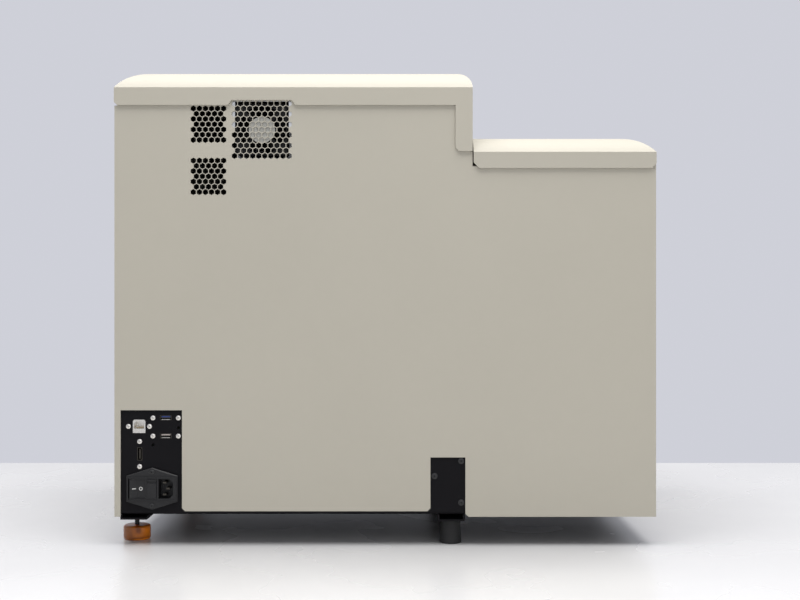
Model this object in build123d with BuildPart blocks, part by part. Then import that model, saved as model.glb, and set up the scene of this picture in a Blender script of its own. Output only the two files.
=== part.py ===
from build123d import *
from math import acos, atan2, cos, degrees, hypot, radians, sin, sqrt
import os

os.makedirs("parts", exist_ok=True)

# The analyzer stands on the bench at z = 0. Its front, with the door, faces -Y, and the operator's
# left side, with the connectors and the fan, faces -X. All lengths are in millimetres.

# Case and sheet metal
case_depth = 639.0
case_width = 470.0
sheet = 2.0
pan_z = 37.0
pan_wall = 75.0
pan_end_wall = 24.0
bend_radius = 5.0
flange = 14.0
running = 0.05
clearance = 0.3

# Side panels
panel_low_z = 34.8
panel_raised_z = 41.3
panel_rear_top_z = 537.0
corner_cut = 3.5
foot_notch_lag = 8.4
foot_notch_width = 41.3
foot_notch_top_z = 104.8

# Hexagonal perforations
hex_flats = 6.35
hex_pitch = 7.14
small_vent_rows = 7
small_vent_columns = 6
small_vent_from_rear = 110.9
vent_drop = 61.5
fan_vent_rows = 11
fan_vent_columns = 10
fan_from_rear = 173.8
fan_rail_gap = 0.5

# Covers
cover_wall = 2.7
dome_radius = 54.0
cover_crease_z = 541.0
cover_skirt_z = 520.2
cover_rise = 23.0
lid_run = 216.5
cover_leg_drop = 75.0
cover_leg_width = 20.1
cover_corner = 4.0
lid_crease_z = 465.0
lid_skirt_z = 446.0
lid_rise = 20.5
lid_gap = 1.2
lid_overlap = 2.5
lid_rear_corner = 6.6
lid_front_corner = 5.3
lid_lip = 12.0

# Cover posts and ball studs
rail_drop = 10.0
rear_rail_drop = 45.0
rail_flange = 26.0
post_radius = 7.0
stud_inset = 15.0
stud_radius = 4.0
stud_neck_radius = 2.5
stud_height = 6.0
post_top_gap = 3.0
stud_front_lag = 43.0
stud_from_rear = 39.5

# Lid hinge
lid_axis_back = 25.8
lid_axis_drop = 6.5
hinge_inset = 88.0
hinge_plate = 3.0
hinge_eye = 3.5
hinge_pin_radius = 2.0
hinge_lug = 5.0
hinge_lug_radius = 4.5
neck_forward = 24.0
neck_first_drop = 20.0
neck_drop = 46.0
neck_width = 7.0
hinge_foot_width = 24.0
hinge_foot_height = 26.0

# Front frame and door
door_thickness = 17.0
door_gap = 1.5
door_rear_gap = 2.5
door_skin = 2.0
kick_height = 17.0
bay_margin = 36.0
bay_low_z = 62.0
bay_high_z = 232.0
pivot_radius = 3.0
pivot_depth = 10.0
pull_z = 270.0
pull_height = 90.0
pull_width = 18.5
pull_depth = 12.5
pull_undercut = 8.0
pull_lip = 5.0
pull_wall = 3.0

# Bulkhead and deck
bulkhead_gap = 2.3
bulkhead_top_z = 533.0
deck_z = 252.0

# Feet
rear_foot_inset = 45.0
rear_foot_from_rear = 16.5
rear_foot_radius = 16.2
rear_foot_height = 17.4
rear_foot_round = 3.0
rear_channel_height = 6.0
rear_channel_front = 26.0
rear_channel_back = 10.0
rear_channel_length = 84.0
rear_channel_slant = 4.5
foot_stud_radius = 3.0
foot_stud_grip = 10.0
lock_nut_flats = 10.0
lock_nut_height = 3.2
front_foot_inset = 23.0
front_foot_lag = 25.0
front_foot_low_radius = 13.2
front_foot_high_radius = 11.6
front_channel_height = 8.0
front_channel_width = 32.0
front_channel_length = 44.0

# Connector plate
io_from_rear = 7.1
io_width = 72.6
io_top_z = 160.5
io_lap = 4.0
port_flange = 2.0
port_screw_radius = 1.5
port_screw_head = 2.8
port_screw_head_height = 1.8
port_screw_length = 6.0
flange_slot = 7.0
jack_from_rear = 28.7
jack_z = 141.3
jack_width = 14.8
jack_height = 15.7
jack_depth = 22.0
jack_screw_span = 24.9
jack_corner = 1.6
jack_sill = 5.0
jack_cavity_width = 11.7
jack_cavity_height = 8.6
jack_cavity_depth = 14.0
jack_key_width = 5.6
jack_key_height = 2.4
usb_from_rear = 60.2
upper_usb_z = 151.3
lower_usb_z = 129.9
usb_width = 13.6
usb_height = 5.6
usb_wall = 0.5
usb_depth = 16.0
usb_tongue = 1.6
usb_tongue_short = 1.0
usb_screw_span = 30.0
video_from_rear = 29.5
video_z = 108.7
video_width = 5.8
video_height = 15.4
video_screw_span = 29.6
spare_hole_radius = 1.75

# Power inlet
inlet_from_rear = 44.45
inlet_z = 67.8
inlet_half_width = 30.3
inlet_shoulder = 15.3
inlet_peak = 24.8
inlet_flange = 3.0
inlet_body_height = 26.6
inlet_body_depth = 32.0
inlet_body_margin = 2.0
inlet_screw_span = 40.0
inlet_frame_width = 58.5
inlet_frame_height = 29.0
inlet_frame_wall = 1.2
inlet_frame_proud = 1.0
rocker_lag = 17.95
rocker_window_width = 19.8
rocker_window_height = 22.9
rocker_half = 9.0
rocker_play = 0.25
rocker_crown = 4.2
rocker_valley = 1.8
rocker_root = 6.0
rocker_tilt = 8.0
rocker_axis_depth = 4.0
fuse_lag = 0.25
fuse_width = 11.6
fuse_depth = 20.0
fuse_proud = 0.8
fuse_lip = 1.2
fuse_lip_height = 6.0
socket_lead = 16.35
socket_width = 17.2
socket_height = 23.0
socket_corner = 4.5
socket_depth = 16.0
pin_width = 4.0
pin_thickness = 2.0
pin_length = 13.0
pin_spread = 7.0
pin_offset = 2.0

# Fan
fan_size = 60.0
fan_depth = 25.0
fan_bore = 28.5
fan_screw_pitch = 50.0
fan_screw_radius = 2.0
fan_screw_head = 3.8
fan_corner = 4.0
fan_bracket = 1.2
fan_bracket_margin = 3.0
fan_ear = 4.0
fan_ear_drop = 31.5
fan_hub_radius = 15.8
fan_hub_height = 17.0
fan_blades = 7
fan_blade_reach = 26.3
fan_blade_thickness = 1.2
fan_blade_camber = 1.8
fan_root_chord = 15.0
fan_root_pitch = 35.0
fan_tip_chord = 18.0
fan_tip_pitch = 55.0
fan_setback = 1.0
fan_stator_height = 3.0
fan_strut = 4.0
fan_shaft_radius = 1.5

# Sample carousel
carousel_x = -60.0
carousel_from_front = 111.5
carousel_radius = 86.0
tube_circle = 70.0
tube_count = 12
tube_radius = 8.5
tube_wall = 1.2
tube_length = 74.0
tube_rim = 1.0
carousel_lift = 10.0
carousel_height = 38.0
carousel_floor = 4.0
carousel_dish_radius = 50.0
carousel_dish_depth = 26.0
knob_radius = 12.0
knob_height = 18.0
carousel_hub_radius = 20.0
carousel_shaft_radius = 4.0
motor_size = 42.3
motor_height = 40.0
motor_boss_radius = 11.0

# Probe
tower_x = 95.0
tower_from_front = 169.5
tower_radius = 20.0
tower_height = 88.0
tower_flange_radius = 30.0
tower_flange = 5.0
column_radius = 7.0
column_collar_radius = 11.0
column_collar = 6.0
column_cap_radius = 8.5
column_cap = 4.0
arm_z = 430.0
arm_height = 16.0
arm_root_radius = 14.0
arm_tip_radius = 8.0
arm_turn = 40.0
needle_radius = 1.0
needle_reach = 78.0
needle_stroke = 80.0
needle_tail = 8.0
needle_point = 4.0
well_radius = 5.0
wash_radius = 13.0
wash_top_gap = 14.0
wash_flange_radius = 20.0
wash_flange = 3.0
wash_floor = 8.0

# Syringe pump
syringe_pitch = 61.0
syringe_body_width = 50.0
syringe_body_depth = 55.0
syringe_body_height = 160.0
barrel_standoff = 18.0
barrel_radius = 8.0
bore_radius = 6.6
barrel_length = 60.0
valve_width = 36.0
valve_height = 20.0
valve_drop = 2.0
plunger_rod_radius = 4.0
plunger_head = 8.0
plunger_rod_length = 74.0
carriage_width = 30.0
carriage_height = 12.0

# Tubing pump
pump_inset = 35.0
pump_z = 190.0
pump_radius = 26.0
pump_depth = 30.0
pump_wall = 5.0
pump_floor = 6.0
roller_circle = 13.0
roller_radius = 4.0
roller_count = 3
rotor_disc = 3.0
rotor_shaft_radius = 4.0

# Reagents
rack_inset = 33.0
rack_side_gap = 20.0
rack_front_gap = 10.0
rack_rear_gap = 14.0
rack_wall = 2.0
rack_height = 30.0
bottle_count = 3
bottle_gap = 12.0
bottle_end_gap = 11.0
bottle_height = 118.0
bottle_round = 12.0
neck_radius = 14.0
neck_height = 10.0
cap_radius = 18.0
cap_height = 16.0

# Optics
bench_x = -62.0
bench_gap = 20.0
bench_length = 240.0
bench_width = 110.0
bench_thickness = 14.0
bench_leg = 30.0
bench_leg_radius = 9.0
optic_axis_height = 34.0
camera_size = 46.0
camera_length = 54.0
objective_radius = 15.0
objective_length = 48.0
cell_thickness = 12.0
cell_width = 40.0
lamp_radius = 22.0
lamp_length = 60.0
optic_gap = 10.0

# Electronics
supply_inset = 33.0
supply_from_rear = 29.5
supply_width = 100.0
supply_length = 180.0
supply_height = 50.0
board_x = -40.0
board_from_rear = 20.0
board_width = 170.0
board_length = 150.0
board_thickness = 1.6
standoff_height = 10.0
standoff_radius = 3.0
standoff_inset = 6.0
chip_size = 38.0
chip_height = 12.0
header_width = 12.0
header_height = 9.0

# Fasteners on the case
case_screw_radius = 2.0
case_screw_head = 3.6
case_screw_length = 8.0
rear_screw_inset = 53.0
rear_screw_low_z = 50.0
rear_screw_high_z = 500.0
flange_screw_inset = 4.9
flange_screw_low_z = 51.3
flange_screw_middle_z = 82.5
flange_screw_high_z = 100.4

# Places that follow from the sizes above
rear_y = case_depth / 2
front_y = -case_depth / 2
side_out = case_width / 2
side_in = side_out - sheet
flange_in = side_in - sheet
pan_top = pan_z + sheet
pan_rear_y = rear_y - cover_wall - clearance
rear_face_y = pan_rear_y + sheet
pan_front_y = front_y + sheet
cover_front_y = front_y + lid_run
cover_leg_z = cover_crease_z - cover_leg_drop
cover_out = side_out + clearance + cover_wall
cover_in = side_out + clearance
cover_crest_z = cover_crease_z + cover_rise
lid_crest_z = lid_crease_z + lid_rise
lid_rear_y = cover_front_y - lid_gap
lid_axis_y = lid_rear_y - lid_axis_back
lid_axis_z = lid_crest_z - lid_axis_drop
panel_step_y = cover_front_y + cover_wall + clearance
panel_front_top_z = lid_skirt_z + lid_overlap
bulkhead_y = cover_front_y + cover_wall + bulkhead_gap
frame_y = front_y + door_thickness + door_rear_gap
deck_front_y = frame_y + sheet
kick_z = pan_z + kick_height
ledge_z = lid_skirt_z - clearance
door_low_z = kick_z + sheet
door_high_z = ledge_z - sheet - door_gap
pivot_x = side_in - door_gap - door_thickness / 2
pivot_y = front_y + door_thickness / 2
rail_top_z = bulkhead_top_z + sheet
bay_half_width = flange_in - bay_margin
hinge_x = cover_out - hinge_inset
stud_x = side_in - stud_inset
stud_front_y = cover_front_y + stud_front_lag
stud_rear_y = rear_y - stud_from_rear
foot_notch_front_y = cover_front_y + foot_notch_lag
foot_notch_rear_y = foot_notch_front_y + foot_notch_width
front_foot_x = side_in - front_foot_inset
front_foot_y = cover_front_y + front_foot_lag
rear_foot_x = side_in - rear_foot_inset
rear_foot_y = rear_y - rear_foot_from_rear
rear_screw_x = side_in - rear_screw_inset
io_face_x = -side_in
io_back_x = io_face_x + sheet
io_rear_y = rear_y - io_from_rear
io_front_y = io_rear_y - io_width
jack_y = rear_y - jack_from_rear
usb_y = rear_y - usb_from_rear
video_y = rear_y - video_from_rear
inlet_y = rear_y - inlet_from_rear
rocker_y = inlet_y + rocker_lag
fuse_y = inlet_y + fuse_lag
socket_y = inlet_y - socket_lead
small_vent_y = rear_y - small_vent_from_rear
fan_y = rear_y - fan_from_rear
row_pitch = hex_pitch * sqrt(3) / 2
hex_reach = hex_flats / sqrt(3)
upper_vent_z = cover_skirt_z - hex_reach - (small_vent_rows - 1) / 2 * row_pitch
lower_vent_z = upper_vent_z - vent_drop
fan_z = rail_top_z - rail_drop - fan_rail_gap - fan_bracket_margin - fan_size / 2
fan_vent_half = (fan_vent_columns - 1) / 2 * hex_pitch + hex_flats / 2
fan_vent_top_z = fan_z + (fan_vent_rows - 1) / 2 * row_pitch + hex_reach
carousel_y = front_y + carousel_from_front
tower_y = front_y + tower_from_front
carousel_z = deck_z + carousel_lift
carousel_top_z = carousel_z + carousel_height
tube_floor_z = carousel_z + carousel_floor
tube_top_z = tube_floor_z + tube_length
sample_x = carousel_x + tube_circle
arm_length = hypot(sample_x - tower_x, carousel_y - tower_y)
arm_angle = degrees(atan2(carousel_y - tower_y, sample_x - tower_x))
wash_x = tower_x + arm_length * cos(radians(arm_angle + arm_turn))
wash_y = tower_y + arm_length * sin(radians(arm_angle + arm_turn))
needle_tip_z = arm_z - needle_reach
pump_x = side_in - pump_inset
syringe_x = pump_x - syringe_pitch
syringe_low_z = (pan_top + deck_z - sheet - syringe_body_height) / 2
rack_left_x = rack_inset - side_in
rack_right_x = syringe_x - syringe_body_width / 2 - rack_side_gap
rack_front_y = deck_front_y + rack_front_gap
rack_rear_y = bulkhead_y - rack_rear_gap
bench_y = bulkhead_y + bench_gap + bench_width / 2
supply_x = side_in - supply_inset - supply_width / 2
supply_y = rear_y - supply_from_rear - supply_length / 2
board_y = rear_y - board_from_rear - board_length / 2
front_foot_height = pan_z - front_channel_height
rear_channel_z = pan_z - rear_channel_height


def rounded_top(rear, front, low, crest, rear_round, front_round, inset):
    """Draws a side outline: upright ends, a flat crest, and an arc (run, radius) at each end."""
    top = crest - inset
    rear_run, rear_radius = rear_round
    front_run, front_radius = front_round
    points = []
    ends = ((rear - inset, -1, rear_run, rear_radius), (front + inset, 1, front_run, front_radius))
    for end, inward, run, radius in ends:
        centre_y = end - inward * inset + inward * run
        reach = radius - inset
        half = abs(end - centre_y)
        start = (end, crest - radius + sqrt(max(reach**2 - half**2, 0)))
        turn = atan2(half, start[1] - (crest - radius)) / 2
        middle = (centre_y - inward * reach * sin(turn), crest - radius + reach * cos(turn))
        points.append((start, middle, (centre_y, top)))
    rear_start, rear_middle, rear_end = points[0]
    front_start, front_middle, front_end = points[1]
    Polyline((front_start[0], front_start[1]), (front_start[0], low), (rear_start[0], low), rear_start)
    ThreePointArc(rear_start, rear_middle, rear_end)
    Line(rear_end, front_end)
    ThreePointArc(front_end, front_middle, front_start)


def edge_round(rise):
    """The run and the radius of the long edge curve that climbs by rise."""
    return dome_radius * sin(acos(1 - rise / dome_radius)), dome_radius


def square_end(radius):
    """An end that keeps its full height, eased over by a small radius."""
    return radius, radius


def hex_field(centre_y, centre_z, rows, columns):
    """Centres of a field of hexagons in rows of columns and one fewer by turns."""
    places = []
    for row in range(rows):
        count = columns - row % 2
        for column in range(count):
            across = (column - (count - 1) / 2) * hex_pitch
            places.append((centre_y + across, centre_z + (row - (rows - 1) / 2) * row_pitch))
    return places


# The base pan: a black folded tray with a wall up each side and a low one at the rear
io_plate_front_y = io_front_y - io_lap
rear_screw_places = [
    (x, z) for z in (rear_screw_low_z, rear_screw_high_z) for x in (-rear_screw_x, 0, rear_screw_x)
]
flange_screw_places = [
    (foot_notch_rear_y - flange_screw_inset, flange_screw_middle_z),
    (foot_notch_front_y + flange_screw_inset, flange_screw_high_z),
    (foot_notch_front_y + flange_screw_inset, flange_screw_low_z),
]
with BuildPart() as base_pan:
    with BuildSketch(Plane.XZ.offset(-pan_rear_y)) as pan_outside:
        with Locations((0, pan_z + pan_wall / 2)):
            Rectangle(2 * side_in, pan_wall)
        fillet(pan_outside.vertices().group_by(Axis.Y)[0], bend_radius)
    extrude(amount=pan_rear_y - pan_front_y)
    with BuildSketch(Plane.XZ.offset(-pan_rear_y + sheet)) as pan_inside:
        with Locations((0, pan_top + pan_wall / 2)):
            Rectangle(2 * flange_in, pan_wall)
        fillet(pan_inside.vertices().group_by(Axis.Y)[0], bend_radius - sheet)
    extrude(amount=pan_rear_y - pan_front_y, mode=Mode.SUBTRACT)
    with BuildSketch(Plane.XZ.offset(-pan_rear_y)):
        with Locations((0, pan_z + pan_end_wall + pan_wall / 2)):
            Rectangle(2 * flange_in, pan_wall)
    extrude(amount=sheet, mode=Mode.SUBTRACT)
    with BuildSketch(Plane.YZ.offset(-side_in)):
        with Locations(((io_plate_front_y - clearance + rear_y) / 2, pan_top + pan_wall / 2)):
            Rectangle(rear_y - io_plate_front_y + clearance, pan_wall)
    extrude(amount=sheet, mode=Mode.SUBTRACT)
    with BuildSketch(Plane.XZ.offset(-pan_rear_y)):
        with Locations(*rear_screw_places):
            Circle(case_screw_radius)
    extrude(amount=sheet, mode=Mode.SUBTRACT)
    with BuildSketch(Plane.YZ.offset(-side_in)):
        with Locations(*flange_screw_places):
            Circle(case_screw_radius)
    extrude(amount=2 * side_in, mode=Mode.SUBTRACT)
    with BuildSketch(Plane.XY.offset(pan_top)):
        with Locations((0, frame_y)):
            Rectangle(2 * side_in, case_depth, align=(Align.CENTER, Align.MAX))
    extrude(amount=pan_wall, mode=Mode.SUBTRACT)
base_pan.part.label = "base_pan"
export_step(base_pan.part, "parts/base_pan.step")


def panel_outline(rear_cut_front_y):
    """Draws a side panel: stepped top, and cut away below for the feet and the rear corner."""
    lid_corner_y = front_y + cover_wall + clearance
    points = [
        (rear_y, panel_low_z),
        (rear_y, cover_skirt_z - clearance),
        (pan_rear_y, cover_skirt_z - clearance),
        (pan_rear_y, panel_rear_top_z),
        (panel_step_y, panel_rear_top_z),
        (panel_step_y, cover_leg_z - clearance),
        (cover_front_y, cover_leg_z - clearance),
        (cover_front_y, panel_front_top_z),
        (lid_corner_y, panel_front_top_z),
        (lid_corner_y, lid_skirt_z - clearance),
        (front_y, lid_skirt_z - clearance),
        (front_y, panel_low_z),
        (foot_notch_front_y - corner_cut, panel_low_z),
        (foot_notch_front_y, panel_low_z + corner_cut),
        (foot_notch_front_y, foot_notch_top_z),
        (foot_notch_rear_y, foot_notch_top_z),
        (foot_notch_rear_y, panel_raised_z + corner_cut),
        (foot_notch_rear_y + corner_cut, panel_raised_z),
        (rear_cut_front_y - corner_cut, panel_raised_z),
    ]
    return points


# The left side panel: a flat painted sheet, perforated for the fan and the two air inlets
with BuildPart() as left_side_panel:
    with BuildSketch(Plane.YZ.offset(-side_out)):
        with BuildLine():
            Polyline(
                *panel_outline(io_front_y),
                (io_front_y, panel_raised_z + corner_cut),
                (io_front_y, io_top_z),
                (io_rear_y, io_top_z),
                (io_rear_y, panel_low_z),
                close=True,
            )
        make_face()
        vents = hex_field(fan_y, fan_z, fan_vent_rows, fan_vent_columns)
        for vent_z in (upper_vent_z, lower_vent_z):
            vents += hex_field(small_vent_y, vent_z, small_vent_rows, small_vent_columns)
        with Locations(*vents):
            RegularPolygon(hex_flats / 2, 6, major_radius=False, rotation=30, mode=Mode.SUBTRACT)
    extrude(amount=sheet)
left_side_panel.part.label = "left_side_panel"
export_step(left_side_panel.part, "parts/left_side_panel.step")

# The right side panel: the same sheet with no openings but the foot notch
with BuildPart() as right_side_panel:
    with BuildSketch(Plane.YZ.offset(side_in)):
        with BuildLine():
            Polyline(
                *panel_outline(rear_y - sheet),
                (rear_y - sheet, panel_low_z),
                close=True,
            )
        make_face()
    extrude(amount=sheet)
right_side_panel.part.label = "right_side_panel"
export_step(right_side_panel.part, "parts/right_side_panel.step")

# The rear panel: a flat sheet between the side panels, with a turned edge down each side
rear_flange_low_z = io_top_z + io_lap + sheet
with BuildPart() as rear_panel:
    with BuildSketch(Plane.XZ.offset(-rear_face_y)):
        with Locations((0, pan_z)):
            Rectangle(2 * side_in, cover_skirt_z - sheet - pan_z, align=(Align.CENTER, Align.MIN))
    extrude(amount=sheet)
    with BuildSketch(Plane.XZ.offset(-pan_rear_y)):
        for side in (-1, 1):
            with Locations((side * (side_in - sheet / 2), rear_flange_low_z)):
                Rectangle(
                    sheet,
                    cover_skirt_z - sheet - rear_flange_low_z,
                    align=(Align.CENTER, Align.MIN),
                )
    extrude(amount=flange)
    with BuildSketch(Plane.XZ.offset(-rear_face_y)):
        with Locations(*rear_screw_places):
            Circle(case_screw_radius)
    extrude(amount=sheet, mode=Mode.SUBTRACT)
rear_panel.part.label = "rear_panel"
export_step(rear_panel.part, "parts/rear_panel.step")

# The bulkhead: an upright sheet under the tall cover's front face, turned back at its edges
with BuildPart() as bulkhead:
    with BuildSketch(Plane.XZ.offset(-bulkhead_y)) as bulkhead_sheet:
        with Locations((0, pan_top)):
            Rectangle(2 * flange_in, bulkhead_top_z - pan_top, align=(Align.CENTER, Align.MIN))
        fillet(bulkhead_sheet.vertices().group_by(Axis.Y)[0], bend_radius)
    extrude(amount=-sheet)
    with BuildSketch(Plane.XZ.offset(-bulkhead_y)):
        with Locations((0, pan_top)):
            Rectangle(2 * (flange_in - bend_radius), sheet, align=(Align.CENTER, Align.MIN))
        for side in (-1, 1):
            with Locations((side * (flange_in - sheet / 2), pan_top + bend_radius)):
                Rectangle(sheet, pan_wall - sheet - bend_radius, align=(Align.CENTER, Align.MIN))
            with Locations((side * (side_in - sheet / 2), pan_z + pan_wall + sheet)):
                Rectangle(
                    sheet,
                    bulkhead_top_z - pan_z - pan_wall - sheet,
                    align=(Align.CENTER, Align.MIN),
                )
    extrude(amount=-flange)
    with BuildSketch(Plane.XZ.offset(-bulkhead_y)):
        with Locations((0, pan_z + pan_wall + sheet)):
            Rectangle(
                2 * side_in,
                bulkhead_top_z - pan_z - pan_wall - sheet,
                align=(Align.CENTER, Align.MIN),
            )
    extrude(amount=-sheet)
    with BuildSketch(Plane.YZ.offset(-side_in)):
        with Locations(*flange_screw_places):
            Circle(case_screw_radius)
    extrude(amount=2 * side_in, mode=Mode.SUBTRACT)
bulkhead.part.label = "bulkhead"
export_step(bulkhead.part, "parts/bulkhead.step")

# The top rails: an angle along each side wall and one across the rear, which carry the tall cover
rail_front_y = bulkhead_y + flange + clearance
stud_places = [(side * stud_x, y) for side in (-1, 1) for y in (stud_front_y, stud_rear_y)]
with BuildPart() as top_rails:
    with BuildSketch(Plane.XZ.offset(-pan_rear_y)):
        for side in (-1, 1):
            with Locations((side * (side_in - sheet / 2), rail_top_z)):
                Rectangle(sheet, rail_drop, align=(Align.CENTER, Align.MAX))
            with Locations((side * (side_in - rail_flange / 2), rail_top_z)):
                Rectangle(rail_flange, sheet, align=(Align.CENTER, Align.MAX))
    extrude(amount=pan_rear_y - rail_front_y)
    with BuildSketch(Plane.XZ.offset(-pan_rear_y)):
        with Locations((0, rail_top_z)):
            Rectangle(2 * (side_in - rail_flange), rear_rail_drop, align=(Align.CENTER, Align.MAX))
        with Locations(*rear_screw_places):
            Circle(case_screw_radius, mode=Mode.SUBTRACT)
    extrude(amount=sheet)
    with BuildSketch(Plane.XY.offset(rail_top_z)):
        with Locations(*stud_places):
            Circle(stud_neck_radius)
    extrude(amount=-sheet, mode=Mode.SUBTRACT)
top_rails.part.label = "top_rails"
export_step(top_rails.part, "parts/top_rails.step")

# The tall cover: a domed shell that drops over the rails, with a leg down its front corner
cover_rear_round = edge_round(cover_rise)
cover_front_round = square_end(cover_rise)
notch_half = fan_vent_half + clearance
with BuildPart() as cover_inside:
    with BuildSketch(Plane.YZ.offset(-cover_in)):
        with BuildLine():
            rounded_top(
                rear_y, cover_front_y, cover_leg_z - cover_wall, cover_crest_z,
                cover_rear_round, cover_front_round, cover_wall,
            )
        make_face()
    extrude(amount=2 * cover_in)
    with BuildSketch(Plane.XZ.offset(-rear_y)):
        with BuildLine():
            rounded_top(
                cover_out, -cover_out, cover_leg_z - cover_wall, cover_crest_z,
                cover_rear_round, cover_rear_round, cover_wall,
            )
        make_face()
    extrude(amount=case_depth, mode=Mode.INTERSECT)

with BuildPart() as cover_solid:
    with BuildSketch(Plane.YZ.offset(-cover_out)):
        with BuildLine():
            rounded_top(
                rear_y, cover_front_y, cover_leg_z, cover_crest_z,
                cover_rear_round, cover_front_round, 0,
            )
        make_face()
    extrude(amount=2 * cover_out)
    with BuildSketch(Plane.XZ.offset(-rear_y)):
        with BuildLine():
            rounded_top(
                cover_out, -cover_out, cover_leg_z, cover_crest_z,
                cover_rear_round, cover_rear_round, 0,
            )
        make_face()
    extrude(amount=case_depth, mode=Mode.INTERSECT)

with BuildPart() as cover_posts:
    with BuildSketch(Plane.XY.offset(rail_top_z + clearance)):
        with Locations(*stud_places):
            Circle(post_radius)
    extrude(amount=cover_rise)
    add(cover_solid.part, mode=Mode.INTERSECT)
    with BuildSketch(Plane.XY.offset(rail_top_z + clearance)):
        with Locations(*stud_places):
            Circle(stud_radius + running)
    extrude(amount=stud_height + post_top_gap, mode=Mode.SUBTRACT)

leg_rear_y = cover_front_y + cover_leg_width
with BuildPart() as top_cover:
    add(cover_solid.part)
    add(cover_inside.part, mode=Mode.SUBTRACT)
    add(cover_posts.part)
    with BuildSketch(Plane.YZ.offset(-cover_out)):
        with BuildLine():
            Polyline(
                (rear_y + cover_wall, cover_leg_z - cover_wall),
                (leg_rear_y - cover_corner, cover_leg_z - cover_wall),
                (leg_rear_y - cover_corner, cover_leg_z),
                (leg_rear_y, cover_leg_z + cover_corner),
                (leg_rear_y, cover_skirt_z),
                (rear_y - corner_cut, cover_skirt_z),
                (rear_y, cover_skirt_z + corner_cut),
                (rear_y + cover_wall, cover_skirt_z + corner_cut),
                close=True,
            )
        make_face()
    extrude(amount=2 * cover_out, mode=Mode.SUBTRACT)
    with BuildSketch(Plane.YZ.offset(-cover_out)):
        with BuildLine():
            Polyline(
                (fan_y - notch_half, fan_vent_top_z),
                (fan_y + notch_half, fan_vent_top_z),
                (fan_y + notch_half + cover_corner, cover_skirt_z),
                (fan_y + notch_half + cover_corner, cover_skirt_z - cover_wall),
                (fan_y - notch_half - cover_corner, cover_skirt_z - cover_wall),
                (fan_y - notch_half - cover_corner, cover_skirt_z),
                close=True,
            )
        make_face()
    extrude(amount=cover_out - cover_in, mode=Mode.SUBTRACT)
top_cover.part.label = "top_cover"
export_step(top_cover.part, "parts/top_cover.step")

# The cover studs: a ball-ended stud under each post, riveted in the rails
with BuildPart() as cover_studs:
    with BuildSketch(Plane.XY.offset(rail_top_z - sheet)):
        with Locations(*stud_places):
            Circle(stud_neck_radius)
    extrude(amount=stud_height)
    with BuildSketch(Plane.XY.offset(rail_top_z + clearance)):
        with Locations(*stud_places):
            Circle(stud_radius)
    extrude(amount=stud_height)
    chamfer(cover_studs.edges().filter_by(GeomType.CIRCLE).group_by(Axis.Z)[-1], stud_radius / 2)
cover_studs.part.label = "cover_studs"
export_step(cover_studs.part, "parts/cover_studs.step")

# The front lid: a lower domed shell, hinged near its rear edge so that its tail dips inside
lid_front_round = edge_round(lid_rise)
lug_offsets = [
    side * hinge_x + beside * (hinge_plate / 2 + clearance + hinge_lug / 2)
    for side in (-1, 1)
    for beside in (-1, 1)
]
with BuildPart() as lid_inside:
    with BuildSketch(Plane.YZ.offset(-cover_in)):
        with BuildLine():
            rounded_top(
                rear_y, front_y, lid_skirt_z - cover_wall, lid_crest_z,
                square_end(cover_wall * 2), lid_front_round, cover_wall,
            )
        make_face()
    extrude(amount=2 * cover_in)
    with BuildSketch(Plane.XZ.offset(-rear_y)):
        with BuildLine():
            rounded_top(
                cover_out, -cover_out, lid_skirt_z - cover_wall, lid_crest_z,
                lid_front_round, lid_front_round, cover_wall,
            )
        make_face()
    extrude(amount=case_depth, mode=Mode.INTERSECT)

with BuildPart() as lid_solid:
    with BuildSketch(Plane.YZ.offset(-cover_out)):
        with BuildLine():
            rounded_top(
                lid_rear_y, front_y, lid_skirt_z, lid_crest_z,
                square_end(lid_gap), lid_front_round, 0,
            )
        make_face()
    extrude(amount=2 * cover_out)
    with BuildSketch(Plane.XZ.offset(-rear_y)):
        with BuildLine():
            rounded_top(
                cover_out, -cover_out, lid_skirt_z, lid_crest_z,
                lid_front_round, lid_front_round, 0,
            )
        make_face()
    extrude(amount=case_depth, mode=Mode.INTERSECT)

with BuildPart() as front_lid:
    add(lid_solid.part)
    add(lid_inside.part, mode=Mode.SUBTRACT)
    for side in (-1, 1):
        with BuildSketch(Plane.YZ.offset(side * (cover_in + cover_out) / 2)):
            with BuildLine():
                Polyline(
                    (lid_rear_y, lid_skirt_z),
                    (lid_rear_y, lid_skirt_z + lid_rear_corner),
                    (lid_rear_y - lid_rear_corner, lid_skirt_z),
                    close=True,
                )
            make_face()
            with BuildLine():
                Polyline(
                    (front_y, lid_skirt_z),
                    (front_y, lid_skirt_z + lid_front_corner),
                    (front_y + lid_front_corner, lid_skirt_z),
                    close=True,
                )
            make_face()
        extrude(amount=(cover_out - cover_in) / 2, both=True, mode=Mode.SUBTRACT)
    with BuildSketch(Plane.XY.offset(lid_skirt_z)):
        with Locations((0, front_y)):
            Rectangle(2 * (side_in - clearance), lid_lip, align=(Align.CENTER, Align.MIN))
    extrude(amount=cover_wall)
    for x in lug_offsets:
        with BuildSketch(Plane.YZ.offset(x)):
            with Locations((lid_axis_y, lid_axis_z)):
                Circle(hinge_lug_radius)
                Rectangle(
                    2 * hinge_lug_radius,
                    lid_axis_drop - cover_wall / 2,
                    align=(Align.CENTER, Align.MIN),
                )
                Circle(hinge_pin_radius + running, mode=Mode.SUBTRACT)
        extrude(amount=hinge_lug / 2, both=True)
front_lid.part.label = "front_lid"
export_step(front_lid.part, "parts/front_lid.step")

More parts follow.
